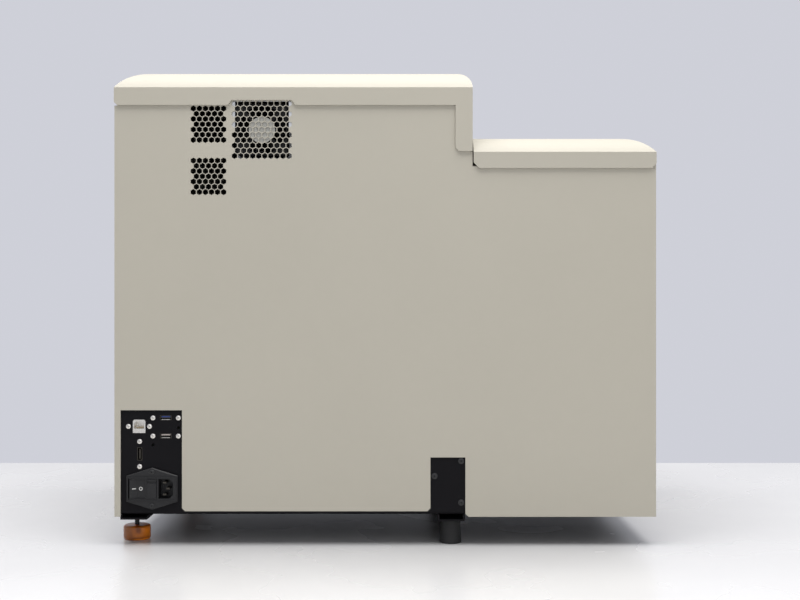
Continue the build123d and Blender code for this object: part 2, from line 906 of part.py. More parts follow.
# The lid hinge brackets: gooseneck plates on the bulkhead, clear of the lid's dipping tail
with BuildPart() as lid_hinge_brackets:
    for side in (-1, 1):
        with BuildSketch(Plane.YZ.offset(side * hinge_x)):
            with BuildLine():
                Polyline(
                    (lid_axis_y, lid_axis_z),
                    (lid_axis_y - neck_forward, lid_axis_z - neck_first_drop),
                    (lid_axis_y - neck_forward, lid_axis_z - neck_drop),
                    (bulkhead_y - hinge_plate, lid_axis_z - neck_drop),
                )
            trace(line_width=neck_width)
            with Locations((lid_axis_y, lid_axis_z)):
                Circle(hinge_eye)
                Circle(hinge_pin_radius, mode=Mode.SUBTRACT)
        extrude(amount=hinge_plate / 2, both=True)
        with BuildSketch(Plane.XZ.offset(-bulkhead_y)):
            with Locations((side * hinge_x, lid_axis_z - neck_drop)):
                RectangleRounded(hinge_foot_width, hinge_foot_height, hinge_plate)
        extrude(amount=hinge_plate)
lid_hinge_brackets.part.label = "lid_hinge_brackets"
export_step(lid_hinge_brackets.part, "parts/lid_hinge_brackets.step")

# The lid hinge pins: one through each bracket and the pair of lugs beside it
with BuildPart() as lid_hinge_pins:
    for side in (-1, 1):
        with BuildSketch(Plane.YZ.offset(side * hinge_x)):
            with Locations((lid_axis_y, lid_axis_z)):
                Circle(hinge_pin_radius)
        extrude(amount=hinge_plate / 2 + hinge_lug + 2 * clearance, both=True)
lid_hinge_pins.part.label = "lid_hinge_pins"
export_step(lid_hinge_pins.part, "parts/lid_hinge_pins.step")

# The front frame: a sheet behind the door with the reagent bay's mouth, a kick face and two ledges
with BuildPart() as front_frame:
    with BuildSketch(Plane.XZ.offset(-deck_front_y)):
        with Locations((0, pan_top)):
            Rectangle(2 * flange_in, ledge_z - pan_top, align=(Align.CENTER, Align.MIN))
        with Locations((0, bay_low_z)):
            Rectangle(
                2 * bay_half_width,
                bay_high_z - bay_low_z,
                align=(Align.CENTER, Align.MIN),
                mode=Mode.SUBTRACT,
            )
    extrude(amount=sheet)
    with BuildSketch(Plane.XY.offset(ledge_z)):
        with Locations((0, frame_y)):
            Rectangle(2 * side_in, frame_y - pan_front_y, align=(Align.CENTER, Align.MAX))
    extrude(amount=-sheet)
    with BuildSketch(Plane.XY.offset(kick_z)):
        with Locations((0, frame_y)):
            Rectangle(2 * side_in, frame_y - front_y, align=(Align.CENTER, Align.MAX))
    extrude(amount=-sheet)
    with BuildSketch(Plane.XZ.offset(-pan_front_y)):
        with Locations((0, pan_z)):
            Rectangle(2 * side_in, kick_height, align=(Align.CENTER, Align.MIN))
    extrude(amount=sheet)
    with BuildSketch(Plane.XY.offset(pan_top)):
        with Locations((pivot_x, pivot_y)):
            Circle(pivot_radius)
    extrude(amount=ledge_z - pan_top, mode=Mode.SUBTRACT)
    with BuildSketch(Plane.XZ.offset(-frame_y)):
        for side in (-1, 1):
            with Locations((side * (side_in - bend_radius), pan_top)):
                Rectangle(2 * bend_radius, pan_wall, align=(Align.CENTER, Align.MIN))
    extrude(amount=-sheet, mode=Mode.SUBTRACT)
front_frame.part.label = "front_frame"
export_step(front_frame.part, "parts/front_frame.step")

# The door pivots: a pin up from the kick ledge and one down from the top ledge
with BuildPart() as door_pivots:
    with BuildSketch(Plane.XY.offset(kick_z - sheet)):
        with Locations((pivot_x, pivot_y)):
            Circle(pivot_radius)
    extrude(amount=door_low_z + pivot_depth - clearance - kick_z + sheet)
    with BuildSketch(Plane.XY.offset(ledge_z)):
        with Locations((pivot_x, pivot_y)):
            Circle(pivot_radius)
    extrude(amount=-(ledge_z - door_high_z + pivot_depth - clearance))
door_pivots.part.label = "door_pivots"
export_step(door_pivots.part, "parts/door_pivots.step")

# The front door: a folded pan with a round edge about its pivot and a finger pull in the free edge
door_left_x = -side_in + door_gap
with BuildPart() as front_door:
    with BuildSketch(Plane.XY.offset(door_low_z)):
        with Locations((door_left_x, front_y)):
            Rectangle(pivot_x - door_left_x, door_thickness, align=(Align.MIN, Align.MIN))
        with Locations((pivot_x, pivot_y)):
            Circle(door_thickness / 2)
    extrude(amount=door_high_z - door_low_z)
    with BuildSketch(Plane.XY.offset(door_low_z + door_skin)):
        with Locations((door_left_x + door_skin, front_y + door_skin)):
            Rectangle(
                pivot_x - door_thickness / 2 - door_left_x - door_skin,
                door_thickness,
                align=(Align.MIN, Align.MIN),
            )
    extrude(amount=door_high_z - door_low_z - 2 * door_skin, mode=Mode.SUBTRACT)
    with BuildSketch(Plane.XY.offset(pull_z - pull_height / 2 - pull_wall)):
        with Locations((door_left_x, front_y)):
            Rectangle(
                pull_width + pull_undercut + pull_wall,
                door_thickness,
                align=(Align.MIN, Align.MIN),
            )
    extrude(amount=pull_height + 2 * pull_wall)
    with BuildSketch(Plane.XY.offset(pull_z - pull_height / 2)):
        with Locations((door_left_x, front_y)):
            Rectangle(pull_width, pull_depth, align=(Align.MIN, Align.MIN))
        with Locations((door_left_x, front_y + pull_lip)):
            Rectangle(
                pull_width + pull_undercut,
                pull_depth - pull_lip,
                align=(Align.MIN, Align.MIN),
            )
    extrude(amount=pull_height, mode=Mode.SUBTRACT)
    with BuildSketch(Plane.XY.offset(door_low_z)):
        with Locations((pivot_x, pivot_y)):
            Circle(pivot_radius + running)
    extrude(amount=pivot_depth, mode=Mode.SUBTRACT)
    with BuildSketch(Plane.XY.offset(door_high_z)):
        with Locations((pivot_x, pivot_y)):
            Circle(pivot_radius + running)
    extrude(amount=-pivot_depth, mode=Mode.SUBTRACT)
front_door.part.label = "front_door"
export_step(front_door.part, "parts/front_door.step")

# The deck plate: carries the carousel and the probe tower, turned down at front and rear
with BuildPart() as deck_plate:
    with BuildSketch(Plane.YZ.offset(-side_in)):
        with Locations((deck_front_y, deck_z)):
            Rectangle(bulkhead_y - deck_front_y, sheet, align=(Align.MIN, Align.MAX))
            Rectangle(sheet, flange, align=(Align.MIN, Align.MAX))
        with Locations((bulkhead_y, deck_z)):
            Rectangle(sheet, flange, align=(Align.MAX, Align.MAX))
    extrude(amount=2 * side_in)
    with BuildSketch(Plane.XY.offset(deck_z)):
        with Locations((carousel_x, carousel_y)):
            Circle(motor_boss_radius)
    extrude(amount=-sheet, mode=Mode.SUBTRACT)
deck_plate.part.label = "deck_plate"
export_step(deck_plate.part, "parts/deck_plate.step")

# The rear foot brackets: a shallow channel, slanted at its front, under each rear corner of the pan
channel_back_y = rear_foot_y + rear_channel_back
channel_front_y = rear_foot_y - rear_channel_front
slant_per_height = rear_channel_slant / rear_channel_height
slant_wall = sheet * hypot(1, slant_per_height)
with BuildPart() as rear_foot_brackets:
    for side in (-1, 1):
        with BuildSketch(Plane.YZ.offset(side * side_in)):
            with BuildLine():
                Polyline(
                    (channel_back_y, pan_z),
                    (channel_back_y, rear_channel_z),
                    (channel_front_y + rear_channel_slant, rear_channel_z),
                    (channel_front_y, pan_z),
                    close=True,
                )
            make_face()
            with BuildLine():
                Polyline(
                    (channel_back_y - sheet, pan_z),
                    (channel_back_y - sheet, rear_channel_z + sheet),
                    (
                        channel_front_y + rear_channel_slant - sheet * slant_per_height + slant_wall,
                        rear_channel_z + sheet,
                    ),
                    (channel_front_y + slant_wall, pan_z),
                    close=True,
                )
            make_face(mode=Mode.SUBTRACT)
        extrude(amount=-side * rear_channel_length)
    with BuildSketch(Plane.XY.offset(rear_channel_z)):
        with Locations((rear_foot_x, rear_foot_y), (-rear_foot_x, rear_foot_y)):
            Circle(foot_stud_radius + running)
    extrude(amount=sheet, mode=Mode.SUBTRACT)
rear_foot_brackets.part.label = "rear_foot_brackets"
export_step(rear_foot_brackets.part, "parts/rear_foot_brackets.step")


def turned_foot(x):
    """A levelling foot: a round cushion with eased rims, moulded on the lower end of its stud."""
    with BuildPart() as cushion:
        with BuildSketch():
            with Locations((x, rear_foot_y)):
                Circle(rear_foot_radius)
        extrude(amount=rear_foot_height)
        fillet(cushion.edges().filter_by(GeomType.CIRCLE), rear_foot_round)
        with BuildSketch(Plane.XY.offset(rear_foot_height)):
            with Locations((x, rear_foot_y)):
                Circle(foot_stud_radius)
        extrude(amount=-foot_stud_grip, mode=Mode.SUBTRACT)
    return cushion


def foot_stud(x):
    """The threaded stud of a levelling foot, up through its bracket."""
    with BuildPart() as stud:
        with BuildSketch(Plane.XY.offset(rear_foot_height - foot_stud_grip)):
            with Locations((x, rear_foot_y)):
                Circle(foot_stud_radius)
        extrude(amount=pan_z - clearance - rear_foot_height + foot_stud_grip)
        chamfer(stud.edges().group_by(Axis.Z)[-1], foot_stud_radius / 4)
    return stud


# The levelling feet: translucent cushions on studs, under the rear corners
left_foot_pad = turned_foot(-rear_foot_x)
left_foot_pad.part.label = "left_foot_pad"
export_step(left_foot_pad.part, "parts/left_foot_pad.step")
right_foot_pad = turned_foot(rear_foot_x)
right_foot_pad.part.label = "right_foot_pad"
export_step(right_foot_pad.part, "parts/right_foot_pad.step")
left_foot_stud = foot_stud(-rear_foot_x)
left_foot_stud.part.label = "left_foot_stud"
export_step(left_foot_stud.part, "parts/left_foot_stud.step")
right_foot_stud = foot_stud(rear_foot_x)
right_foot_stud.part.label = "right_foot_stud"
export_step(right_foot_stud.part, "parts/right_foot_stud.step")

# The lock nuts: thin nuts on the studs, inside the channels
with BuildPart() as foot_lock_nuts:
    with BuildSketch(Plane.XY.offset(rear_channel_z + sheet)):
        with Locations((rear_foot_x, rear_foot_y), (-rear_foot_x, rear_foot_y)):
            RegularPolygon(lock_nut_flats / 2, 6, major_radius=False)
            Circle(foot_stud_radius + running, mode=Mode.SUBTRACT)
    extrude(amount=lock_nut_height)
foot_lock_nuts.part.label = "foot_lock_nuts"
export_step(foot_lock_nuts.part, "parts/foot_lock_nuts.step")

# The front foot channels: short channels that space the fixed feet down from the pan
with BuildPart() as front_foot_channels:
    for side in (-1, 1):
        with BuildSketch(Plane.YZ.offset(side * front_foot_x)):
            with Locations((front_foot_y, front_foot_height)):
                Rectangle(
                    front_channel_width, front_channel_height, align=(Align.CENTER, Align.MIN)
                )
            with Locations((front_foot_y, front_foot_height + sheet)):
                Rectangle(
                    front_channel_width - 2 * sheet,
                    front_channel_height,
                    align=(Align.CENTER, Align.MIN),
                    mode=Mode.SUBTRACT,
                )
        extrude(amount=front_channel_length / 2, both=True)
front_foot_channels.part.label = "front_foot_channels"
export_step(front_foot_channels.part, "parts/front_foot_channels.step")

# The front feet: tapered rubber feet, widest at the bench
with BuildPart() as front_feet:
    with Locations((front_foot_x, front_foot_y, 0), (-front_foot_x, front_foot_y, 0)):
        Cone(
            front_foot_low_radius,
            front_foot_high_radius,
            front_foot_height,
            align=(Align.CENTER, Align.CENTER, Align.MIN),
        )
    chamfer(front_feet.edges().group_by(Axis.Z)[0], sheet / 2)
front_feet.part.label = "front_feet"
export_step(front_feet.part, "parts/front_feet.step")


def lugged_flange(centre_y, centre_z, span, upright):
    """Draws the thin flange of a socket: a rounded bar from one screw to the other."""
    with Locations((centre_y, centre_z)):
        SlotCenterToCenter(span, flange_slot, rotation=90 if upright else 0)


jack_screws = [(jack_y + side * jack_screw_span / 2, jack_z) for side in (-1, 1)]
usb_screws = [
    (usb_y + side * usb_screw_span / 2, z)
    for z in (upper_usb_z, lower_usb_z)
    for side in (-1, 1)
]
video_screws = [(video_y, video_z + side * video_screw_span / 2) for side in (-1, 1)]
port_screw_places = jack_screws + usb_screws + video_screws
inlet_screw_places = [(inlet_y, inlet_z + side * inlet_screw_span / 2) for side in (-1, 1)]
inlet_body_front_y = socket_y - socket_width / 2 - inlet_body_margin
inlet_body_rear_y = rocker_y + rocker_window_width / 2 + inlet_body_margin
spare_holes = [
    (usb_y - usb_screw_span / 2, (upper_usb_z + lower_usb_z - port_flange) / 2),
    (usb_y + usb_screw_span / 2, lower_usb_z - flange_slot - spare_hole_radius * 2),
]

# The connector plate: a black sheet behind the corner cut-out, pierced for each socket
with BuildPart() as io_plate:
    with BuildSketch(Plane.YZ.offset(io_face_x)):
        with Locations((io_plate_front_y, pan_top)):
            Rectangle(
                pan_rear_y - sheet - io_plate_front_y,
                io_top_z + io_lap - pan_top,
                align=(Align.MIN, Align.MIN),
            )
        with Locations((jack_y, jack_z)):
            Rectangle(jack_width, jack_height, mode=Mode.SUBTRACT)
        with Locations((usb_y, upper_usb_z), (usb_y, lower_usb_z)):
            Rectangle(usb_width, usb_height, mode=Mode.SUBTRACT)
        with Locations((video_y, video_z)):
            Rectangle(video_width, video_height, mode=Mode.SUBTRACT)
        with Locations(((inlet_body_front_y + inlet_body_rear_y) / 2, inlet_z)):
            Rectangle(
                inlet_body_rear_y - inlet_body_front_y, inlet_body_height, mode=Mode.SUBTRACT
            )
        with Locations(*port_screw_places, *inlet_screw_places):
            Circle(port_screw_radius, mode=Mode.SUBTRACT)
        with Locations(*spare_holes):
            Circle(spare_hole_radius, mode=Mode.SUBTRACT)
    extrude(amount=sheet)
io_plate.part.label = "io_plate"
export_step(io_plate.part, "parts/io_plate.step")

# The network socket: a shielded block with an arched cavity over a plain sill, and two screw lugs
jack_floor_z = jack_z - jack_height / 2 + jack_sill
jack_shoulder_z = jack_floor_z + jack_cavity_height - jack_key_height
with BuildPart() as ethernet_jack:
    with BuildSketch(Plane.YZ.offset(io_face_x)) as jack_front:
        with Locations((jack_y, jack_z)):
            Rectangle(jack_width, jack_height)
        chamfer(jack_front.vertices().group_by(Axis.Y)[-1], jack_corner)
    extrude(amount=jack_depth)
    with BuildSketch(Plane.YZ.offset(io_back_x)):
        lugged_flange(jack_y, jack_z, jack_screw_span, False)
    extrude(amount=port_flange)
    with BuildSketch(Plane.YZ.offset(io_back_x)):
        with Locations(*jack_screws):
            Circle(port_screw_radius)
    extrude(amount=port_flange, mode=Mode.SUBTRACT)
    with BuildSketch(Plane.YZ.offset(io_face_x)):
        with BuildLine():
            Polyline(
                (jack_y - jack_cavity_width / 2, jack_floor_z),
                (jack_y - jack_cavity_width / 2, jack_shoulder_z),
                (jack_y - jack_key_width / 2, jack_shoulder_z + jack_key_height),
                (jack_y + jack_key_width / 2, jack_shoulder_z + jack_key_height),
                (jack_y + jack_cavity_width / 2, jack_shoulder_z),
                (jack_y + jack_cavity_width / 2, jack_floor_z),
                close=True,
            )
        make_face()
    extrude(amount=jack_cavity_depth, mode=Mode.SUBTRACT)
ethernet_jack.part.label = "ethernet_jack"
export_step(ethernet_jack.part, "parts/ethernet_jack.step")


def usb_socket(centre_z):
    """A panel socket: a thin metal shell round a tongue, on a flange with two screw lugs."""
    with BuildPart() as socket:
        with BuildSketch(Plane.YZ.offset(io_face_x)):
            with Locations((usb_y, centre_z)):
                Rectangle(usb_width, usb_height)
        extrude(amount=usb_depth)
        with BuildSketch(Plane.YZ.offset(io_back_x)):
            lugged_flange(usb_y, centre_z, usb_screw_span, False)
        extrude(amount=port_flange)
        with BuildSketch(Plane.YZ.offset(io_back_x)):
            with Locations(*usb_screws):
                Circle(port_screw_radius)
        extrude(amount=port_flange, mode=Mode.SUBTRACT)
        with BuildSketch(Plane.YZ.offset(io_face_x)):
            with Locations((usb_y, centre_z)):
                Rectangle(usb_width - 2 * usb_wall, usb_height - 2 * usb_wall)
        extrude(amount=usb_depth - usb_tongue, mode=Mode.SUBTRACT)
        with BuildSketch(Plane.YZ.offset(io_face_x + usb_depth)):
            with Locations((usb_y, centre_z + usb_height / 2 - usb_wall - usb_tongue)):
                Rectangle(usb_width - 4 * usb_wall, usb_tongue)
        extrude(amount=usb_tongue_short - usb_depth)
    return socket


# The two data sockets, one over the other
upper_usb_port = usb_socket(upper_usb_z)
upper_usb_port.part.label = "upper_usb_port"
export_step(upper_usb_port.part, "parts/upper_usb_port.step")
lower_usb_port = usb_socket(lower_usb_z)
lower_usb_port.part.label = "lower_usb_port"
export_step(lower_usb_port.part, "parts/lower_usb_port.step")

# The video socket: the same construction, upright and with cut corners
with BuildPart() as video_port:
    with BuildSketch(Plane.YZ.offset(io_face_x)):
        with Locations((video_y, video_z)):
            Rectangle(video_width, video_height)
    extrude(amount=usb_depth)
    with BuildSketch(Plane.YZ.offset(io_back_x)):
        lugged_flange(video_y, video_z, video_screw_span, True)
    extrude(amount=port_flange)
    with BuildSketch(Plane.YZ.offset(io_back_x)):
        with Locations(*video_screws):
            Circle(port_screw_radius)
    extrude(amount=port_flange, mode=Mode.SUBTRACT)
    with BuildSketch(Plane.YZ.offset(io_face_x)) as video_cavity:
        with Locations((video_y, video_z)):
            Rectangle(video_width - 2 * usb_wall, video_height - 2 * usb_wall)
        chamfer(video_cavity.vertices().group_by(Axis.X)[0], video_width / 5)
    extrude(amount=usb_depth - usb_tongue, mode=Mode.SUBTRACT)
    with BuildSketch(Plane.YZ.offset(io_face_x + usb_depth)):
        with Locations((video_y, video_z)):
            Rectangle(usb_tongue, video_height - 8 * usb_wall)
    extrude(amount=usb_tongue_short - usb_depth)
video_port.part.label = "video_port"
export_step(video_port.part, "parts/video_port.step")


def left_screws(places, seat_x, radius, head, head_height, length):
    """Round-headed screws driven from the left, their heads seated at seat_x."""
    with BuildPart() as screws:
        with BuildSketch(Plane.YZ.offset(seat_x)):
            with Locations(*places):
                Circle(radius)
        extrude(amount=length)
        with BuildSketch(Plane.YZ.offset(seat_x)):
            with Locations(*places):
                Circle(head)
        extrude(amount=-head_height)
        chamfer(screws.edges().filter_by(GeomType.CIRCLE).group_by(Axis.X)[0], head_height / 2)
    return screws


# The screws of the sockets on the connector plate
port_screws = left_screws(
    port_screw_places, io_face_x, port_screw_radius,
    port_screw_head, port_screw_head_height, port_screw_length,
)
port_screws.part.label = "port_screws"
export_step(port_screws.part, "parts/port_screws.step")

# The power inlet: one moulding with a peaked flange, for the switch, the fuses and the mains lead
inlet_face_x = io_face_x - inlet_flange
socket_outline = [
    (socket_y + socket_width / 2, inlet_z - socket_height / 2),
    (socket_y + socket_width / 2, inlet_z + socket_height / 2),
    (socket_y - socket_width / 2 + socket_corner, inlet_z + socket_height / 2),
    (socket_y - socket_width / 2, inlet_z + socket_height / 2 - socket_corner),
    (socket_y - socket_width / 2, inlet_z - socket_height / 2 + socket_corner),
    (socket_y - socket_width / 2 + socket_corner, inlet_z - socket_height / 2),
]
with BuildPart() as power_inlet:
    with BuildSketch(Plane.YZ.offset(inlet_face_x)):
        with BuildLine():
            Polyline(
                (inlet_y, inlet_z + inlet_peak),
                (inlet_y - inlet_half_width, inlet_z + inlet_shoulder),
                (inlet_y - inlet_half_width, inlet_z - inlet_shoulder),
                (inlet_y, inlet_z - inlet_peak),
                (inlet_y + inlet_half_width, inlet_z - inlet_shoulder),
                (inlet_y + inlet_half_width, inlet_z + inlet_shoulder),
                close=True,
            )
        make_face()
    extrude(amount=inlet_flange)
    chamfer(power_inlet.faces().sort_by(Axis.X)[0].edges(), inlet_flange / 4)
    with BuildSketch(Plane.YZ.offset(inlet_face_x)):
        with Locations((inlet_y, inlet_z)):
            Rectangle(inlet_frame_width, inlet_frame_height)
            Rectangle(
                inlet_frame_width - 2 * inlet_frame_wall,
                inlet_frame_height - 2 * inlet_frame_wall,
                mode=Mode.SUBTRACT,
            )
    extrude(amount=-inlet_frame_proud)
    with BuildSketch(Plane.YZ.offset(io_face_x)):
        with Locations(((inlet_body_front_y + inlet_body_rear_y) / 2, inlet_z)):
            Rectangle(inlet_body_rear_y - inlet_body_front_y, inlet_body_height)
    extrude(amount=inlet_body_depth)
    with BuildSketch(Plane.YZ.offset(inlet_face_x)):
        with Locations(*inlet_screw_places):
            Circle(port_screw_radius)
    extrude(amount=inlet_flange, mode=Mode.SUBTRACT)
    with BuildSketch(Plane.YZ.offset(inlet_face_x)):
        with Locations((rocker_y, inlet_z)):
            Rectangle(rocker_window_width, rocker_window_height)
    extrude(amount=rocker_axis_depth + rocker_root + rocker_crown, mode=Mode.SUBTRACT)
    with BuildSketch(Plane.YZ.offset(inlet_face_x)):
        with Locations((fuse_y, inlet_z)):
            Rectangle(fuse_width, rocker_window_height)
    extrude(amount=fuse_depth, mode=Mode.SUBTRACT)
    with BuildSketch(Plane.YZ.offset(inlet_face_x)):
        with BuildLine():
            Polyline(*socket_outline, close=True)
        make_face()
    extrude(amount=socket_depth, mode=Mode.SUBTRACT)
power_inlet.part.label = "power_inlet"
export_step(power_inlet.part, "parts/power_inlet.step")

# The inlet pins: two for the supply and one for the earth, on the cut-cornered side
with BuildPart() as inlet_pins:
    with BuildSketch(Plane.YZ.offset(inlet_face_x + socket_depth)):
        with Locations(
            (socket_y + pin_offset, inlet_z + pin_spread),
            (socket_y + pin_offset, inlet_z - pin_spread),
            (socket_y - pin_offset, inlet_z),
        ):
            Rectangle(pin_width, pin_thickness)
    extrude(amount=-pin_length)
inlet_pins.part.label = "inlet_pins"
export_step(inlet_pins.part, "parts/inlet_pins.step")

# The two screws that hold the power inlet
inlet_screws = left_screws(
    inlet_screw_places, inlet_face_x, port_screw_radius,
    port_screw_head, port_screw_head_height, inlet_flange + port_screw_length,
)
inlet_screws.part.label = "inlet_screws"
export_step(inlet_screws.part, "parts/inlet_screws.step")

# The power rocker: a V-faced key on an upright axis, here with its front half pressed in
rocker_x = inlet_face_x + rocker_axis_depth
rocker_plane = Plane(origin=(rocker_x, rocker_y, inlet_z), x_dir=(1, 0, 0))
with BuildPart() as power_rocker:
    with BuildSketch(rocker_plane.rotated((0, 0, rocker_tilt))):
        with BuildLine():
            Polyline(
                (-rocker_crown, rocker_half),
                (-rocker_valley, 0),
                (-rocker_crown, -rocker_half),
                (rocker_root, -rocker_half / 2),
                (rocker_root, rocker_half / 2),
                close=True,
            )
        make_face()
    extrude(amount=rocker_window_height / 2 - rocker_play, both=True)
power_rocker.part.label = "power_rocker"
export_step(power_rocker.part, "parts/power_rocker.step")

# The fuse drawer: a narrow block with a finger lip, which pulls straight out
with BuildPart() as fuse_drawer:
    with BuildSketch(Plane.YZ.offset(inlet_face_x - fuse_proud)):
        with Locations((fuse_y, inlet_z)):
            Rectangle(fuse_width - 2 * clearance, rocker_window_height - 2 * clearance)
    extrude(amount=fuse_depth + fuse_proud - clearance)
    with BuildSketch(Plane.YZ.offset(inlet_face_x - fuse_proud)):
        with Locations((fuse_y, inlet_z + rocker_window_height / 2 - fuse_lip_height / 2 - clearance)):
            Rectangle(fuse_width - 4 * clearance, fuse_lip_height / 2)
    extrude(amount=fuse_lip, mode=Mode.SUBTRACT)
fuse_drawer.part.label = "fuse_drawer"
export_step(fuse_drawer.part, "parts/fuse_drawer.step")

# The flange screws: three in each side wall of the pan, seen through the foot notches
with BuildPart() as flange_screws:
    for side in (-1, 1):
        with BuildSketch(Plane.YZ.offset(side * side_in)):
            with Locations(*flange_screw_places):
                Circle(case_screw_radius)
        extrude(amount=-side * case_screw_length)
        with BuildSketch(Plane.YZ.offset(side * side_in)):
            with Locations(*flange_screw_places):
                Circle(case_screw_head)
        extrude(amount=side * (sheet - clearance))
flange_screws.part.label = "flange_screws"
export_step(flange_screws.part, "parts/flange_screws.step")

# The rear screws: they hold the rear panel to the pan and to the rear rail
with BuildPart() as rear_screws:
    with BuildSketch(Plane.XZ.offset(-rear_face_y)):
        with Locations(*rear_screw_places):
            Circle(case_screw_radius)
    extrude(amount=case_screw_length)
    with BuildSketch(Plane.XZ.offset(-rear_face_y)):
        with Locations(*rear_screw_places):
            Circle(case_screw_head)
    extrude(amount=-(rear_y - rear_face_y))
rear_screws.part.label = "rear_screws"
export_step(rear_screws.part, "parts/rear_screws.step")

# The fan: a bracket behind it with ears on the panel, frame and stator, rotor with twisted blades, screws
fan_front_x = -side_in
fan_rear_x = fan_front_x + fan_depth
fan_plate_half = fan_size / 2 + fan_bracket_margin
fan_screw_places = [
    (fan_y + across * fan_screw_pitch / 2, fan_z + up * fan_screw_pitch / 2)
    for across in (-1, 1)
    for up in (-1, 1)
]
with BuildPart() as fan_plate:
    with BuildSketch(Plane.YZ.offset(fan_rear_x)):
        with Locations((fan_y, fan_z)):
            Rectangle(2 * fan_plate_half, 2 * fan_plate_half)
            Circle(fan_bore, mode=Mode.SUBTRACT)
        with Locations(*fan_screw_places):
            Circle(fan_screw_radius, mode=Mode.SUBTRACT)
    extrude(amount=fan_bracket)
    for side in (-1, 1):
        with BuildSketch(Plane.YZ.offset(fan_front_x)):
            with Locations((fan_y + side * (fan_plate_half - fan_bracket / 2), fan_z + fan_plate_half)):
                Rectangle(fan_bracket, fan_ear_drop, align=(Align.CENTER, Align.MAX))
        extrude(amount=fan_depth)
        with BuildSketch(Plane.YZ.offset(fan_front_x)):
            with Locations((fan_y + side * (fan_plate_half + fan_ear / 2), fan_z + fan_plate_half)):
                Rectangle(fan_ear, fan_ear_drop, align=(Align.CENTER, Align.MAX))
        extrude(amount=fan_bracket)
fan_plate.part.label = "fan_bracket"
export_step(fan_plate.part, "parts/fan_bracket.step")

with BuildPart() as fan_frame:
    with BuildSketch(Plane.YZ.offset(fan_front_x)):
        with Locations((fan_y, fan_z)):
            RectangleRounded(fan_size, fan_size, fan_corner)
            Circle(fan_bore, mode=Mode.SUBTRACT)
        with Locations(*fan_screw_places):
            Circle(fan_screw_radius, mode=Mode.SUBTRACT)
    extrude(amount=fan_depth)
    with BuildSketch(Plane.YZ.offset(fan_front_x)):
        with Locations((fan_y, fan_z)):
            Circle(fan_hub_radius)
            for angle in (45, 135):
                Rectangle(2 * fan_bore + fan_strut / 2, fan_strut, rotation=angle)
            Circle(fan_shaft_radius + running, mode=Mode.SUBTRACT)
    extrude(amount=fan_stator_height)
fan_frame.part.label = "fan_frame"
export_step(fan_frame.part, "parts/fan_frame.step")

rotor_front_x = fan_front_x + fan_stator_height + fan_setback
blade_middle_x = rotor_front_x + fan_hub_height / 2 + fan_setback
blade_sections = (
    (fan_hub_radius - fan_setback, fan_root_chord, fan_root_pitch),
    (fan_blade_reach, fan_tip_chord, fan_tip_pitch),
)
with BuildPart() as fan_blade:
    for reach, chord, pitch in blade_sections:
        section = Plane(
            origin=(blade_middle_x, fan_y + reach, fan_z),
            x_dir=(cos(radians(pitch)), 0, sin(radians(pitch))),
            z_dir=(0, 1, 0),
        )
        with BuildSketch(section):
            with BuildLine():
                ThreePointArc((-chord / 2, 0), (0, fan_blade_camber), (chord / 2, 0))
            trace(line_width=fan_blade_thickness)
    loft()

with BuildPart() as fan_rotor:
    with BuildSketch(Plane.YZ.offset(rotor_front_x)):
        with Locations((fan_y, fan_z)):
            Circle(fan_hub_radius)
    extrude(amount=fan_hub_height)
    chamfer(fan_rotor.edges().filter_by(GeomType.CIRCLE).group_by(Axis.X)[-1], fan_setback)
    with BuildSketch(Plane.YZ.offset(rotor_front_x)):
        with Locations((fan_y, fan_z)):
            Circle(fan_shaft_radius)
    extrude(amount=fan_front_x + clearance - rotor_front_x)
    for blade in range(fan_blades):
        add(fan_blade.part.rotate(Axis((0, fan_y, fan_z), (1, 0, 0)), 360 / fan_blades * blade))
fan_rotor.part.label = "fan_rotor"
export_step(fan_rotor.part, "parts/fan_rotor.step")

with BuildPart() as fan_screws:
    with BuildSketch(Plane.YZ.offset(fan_front_x)):
        with Locations(*fan_screw_places):
            Circle(fan_screw_radius)
    extrude(amount=fan_depth + fan_bracket)
    with BuildSketch(Plane.YZ.offset(fan_rear_x + fan_bracket)):
        with Locations(*fan_screw_places):
            Circle(fan_screw_head)
    extrude(amount=fan_screw_radius)
fan_screws.part.label = "fan_screws"
export_step(fan_screws.part, "parts/fan_screws.step")

# The carousel motor: a square stepper hung under the deck, its pilot in the deck's hole
with BuildPart() as carousel_motor:
    with BuildSketch(Plane.XY.offset(deck_z - sheet)):
        with Locations((carousel_x, carousel_y)):
            RectangleRounded(motor_size, motor_size, fan_corner)
    extrude(amount=-motor_height)
    with BuildSketch(Plane.XY.offset(deck_z - sheet)):
        with Locations((carousel_x, carousel_y)):
            Circle(motor_boss_radius)
    extrude(amount=sheet)
    with BuildSketch(Plane.XY.offset(deck_z)):
        with Locations((carousel_x, carousel_y)):
            Circle(carousel_shaft_radius + running)
    extrude(amount=-motor_height / 2, mode=Mode.SUBTRACT)
carousel_motor.part.label = "carousel_motor"
export_step(carousel_motor.part, "parts/carousel_motor.step")

# The carousel shaft: from the motor up into the carousel's hub
hub_low_z = deck_z + carousel_lift / 2
shaft_top_z = carousel_top_z - carousel_dish_depth
with BuildPart() as carousel_shaft:
    with BuildSketch(Plane.XY.offset(deck_z - motor_height / 2 + clearance)):
        with Locations((carousel_x, carousel_y)):
            Circle(carousel_shaft_radius)
    extrude(amount=shaft_top_z - deck_z + motor_height / 2 - clearance)
carousel_shaft.part.label = "carousel_shaft"
export_step(carousel_shaft.part, "parts/carousel_shaft.step")

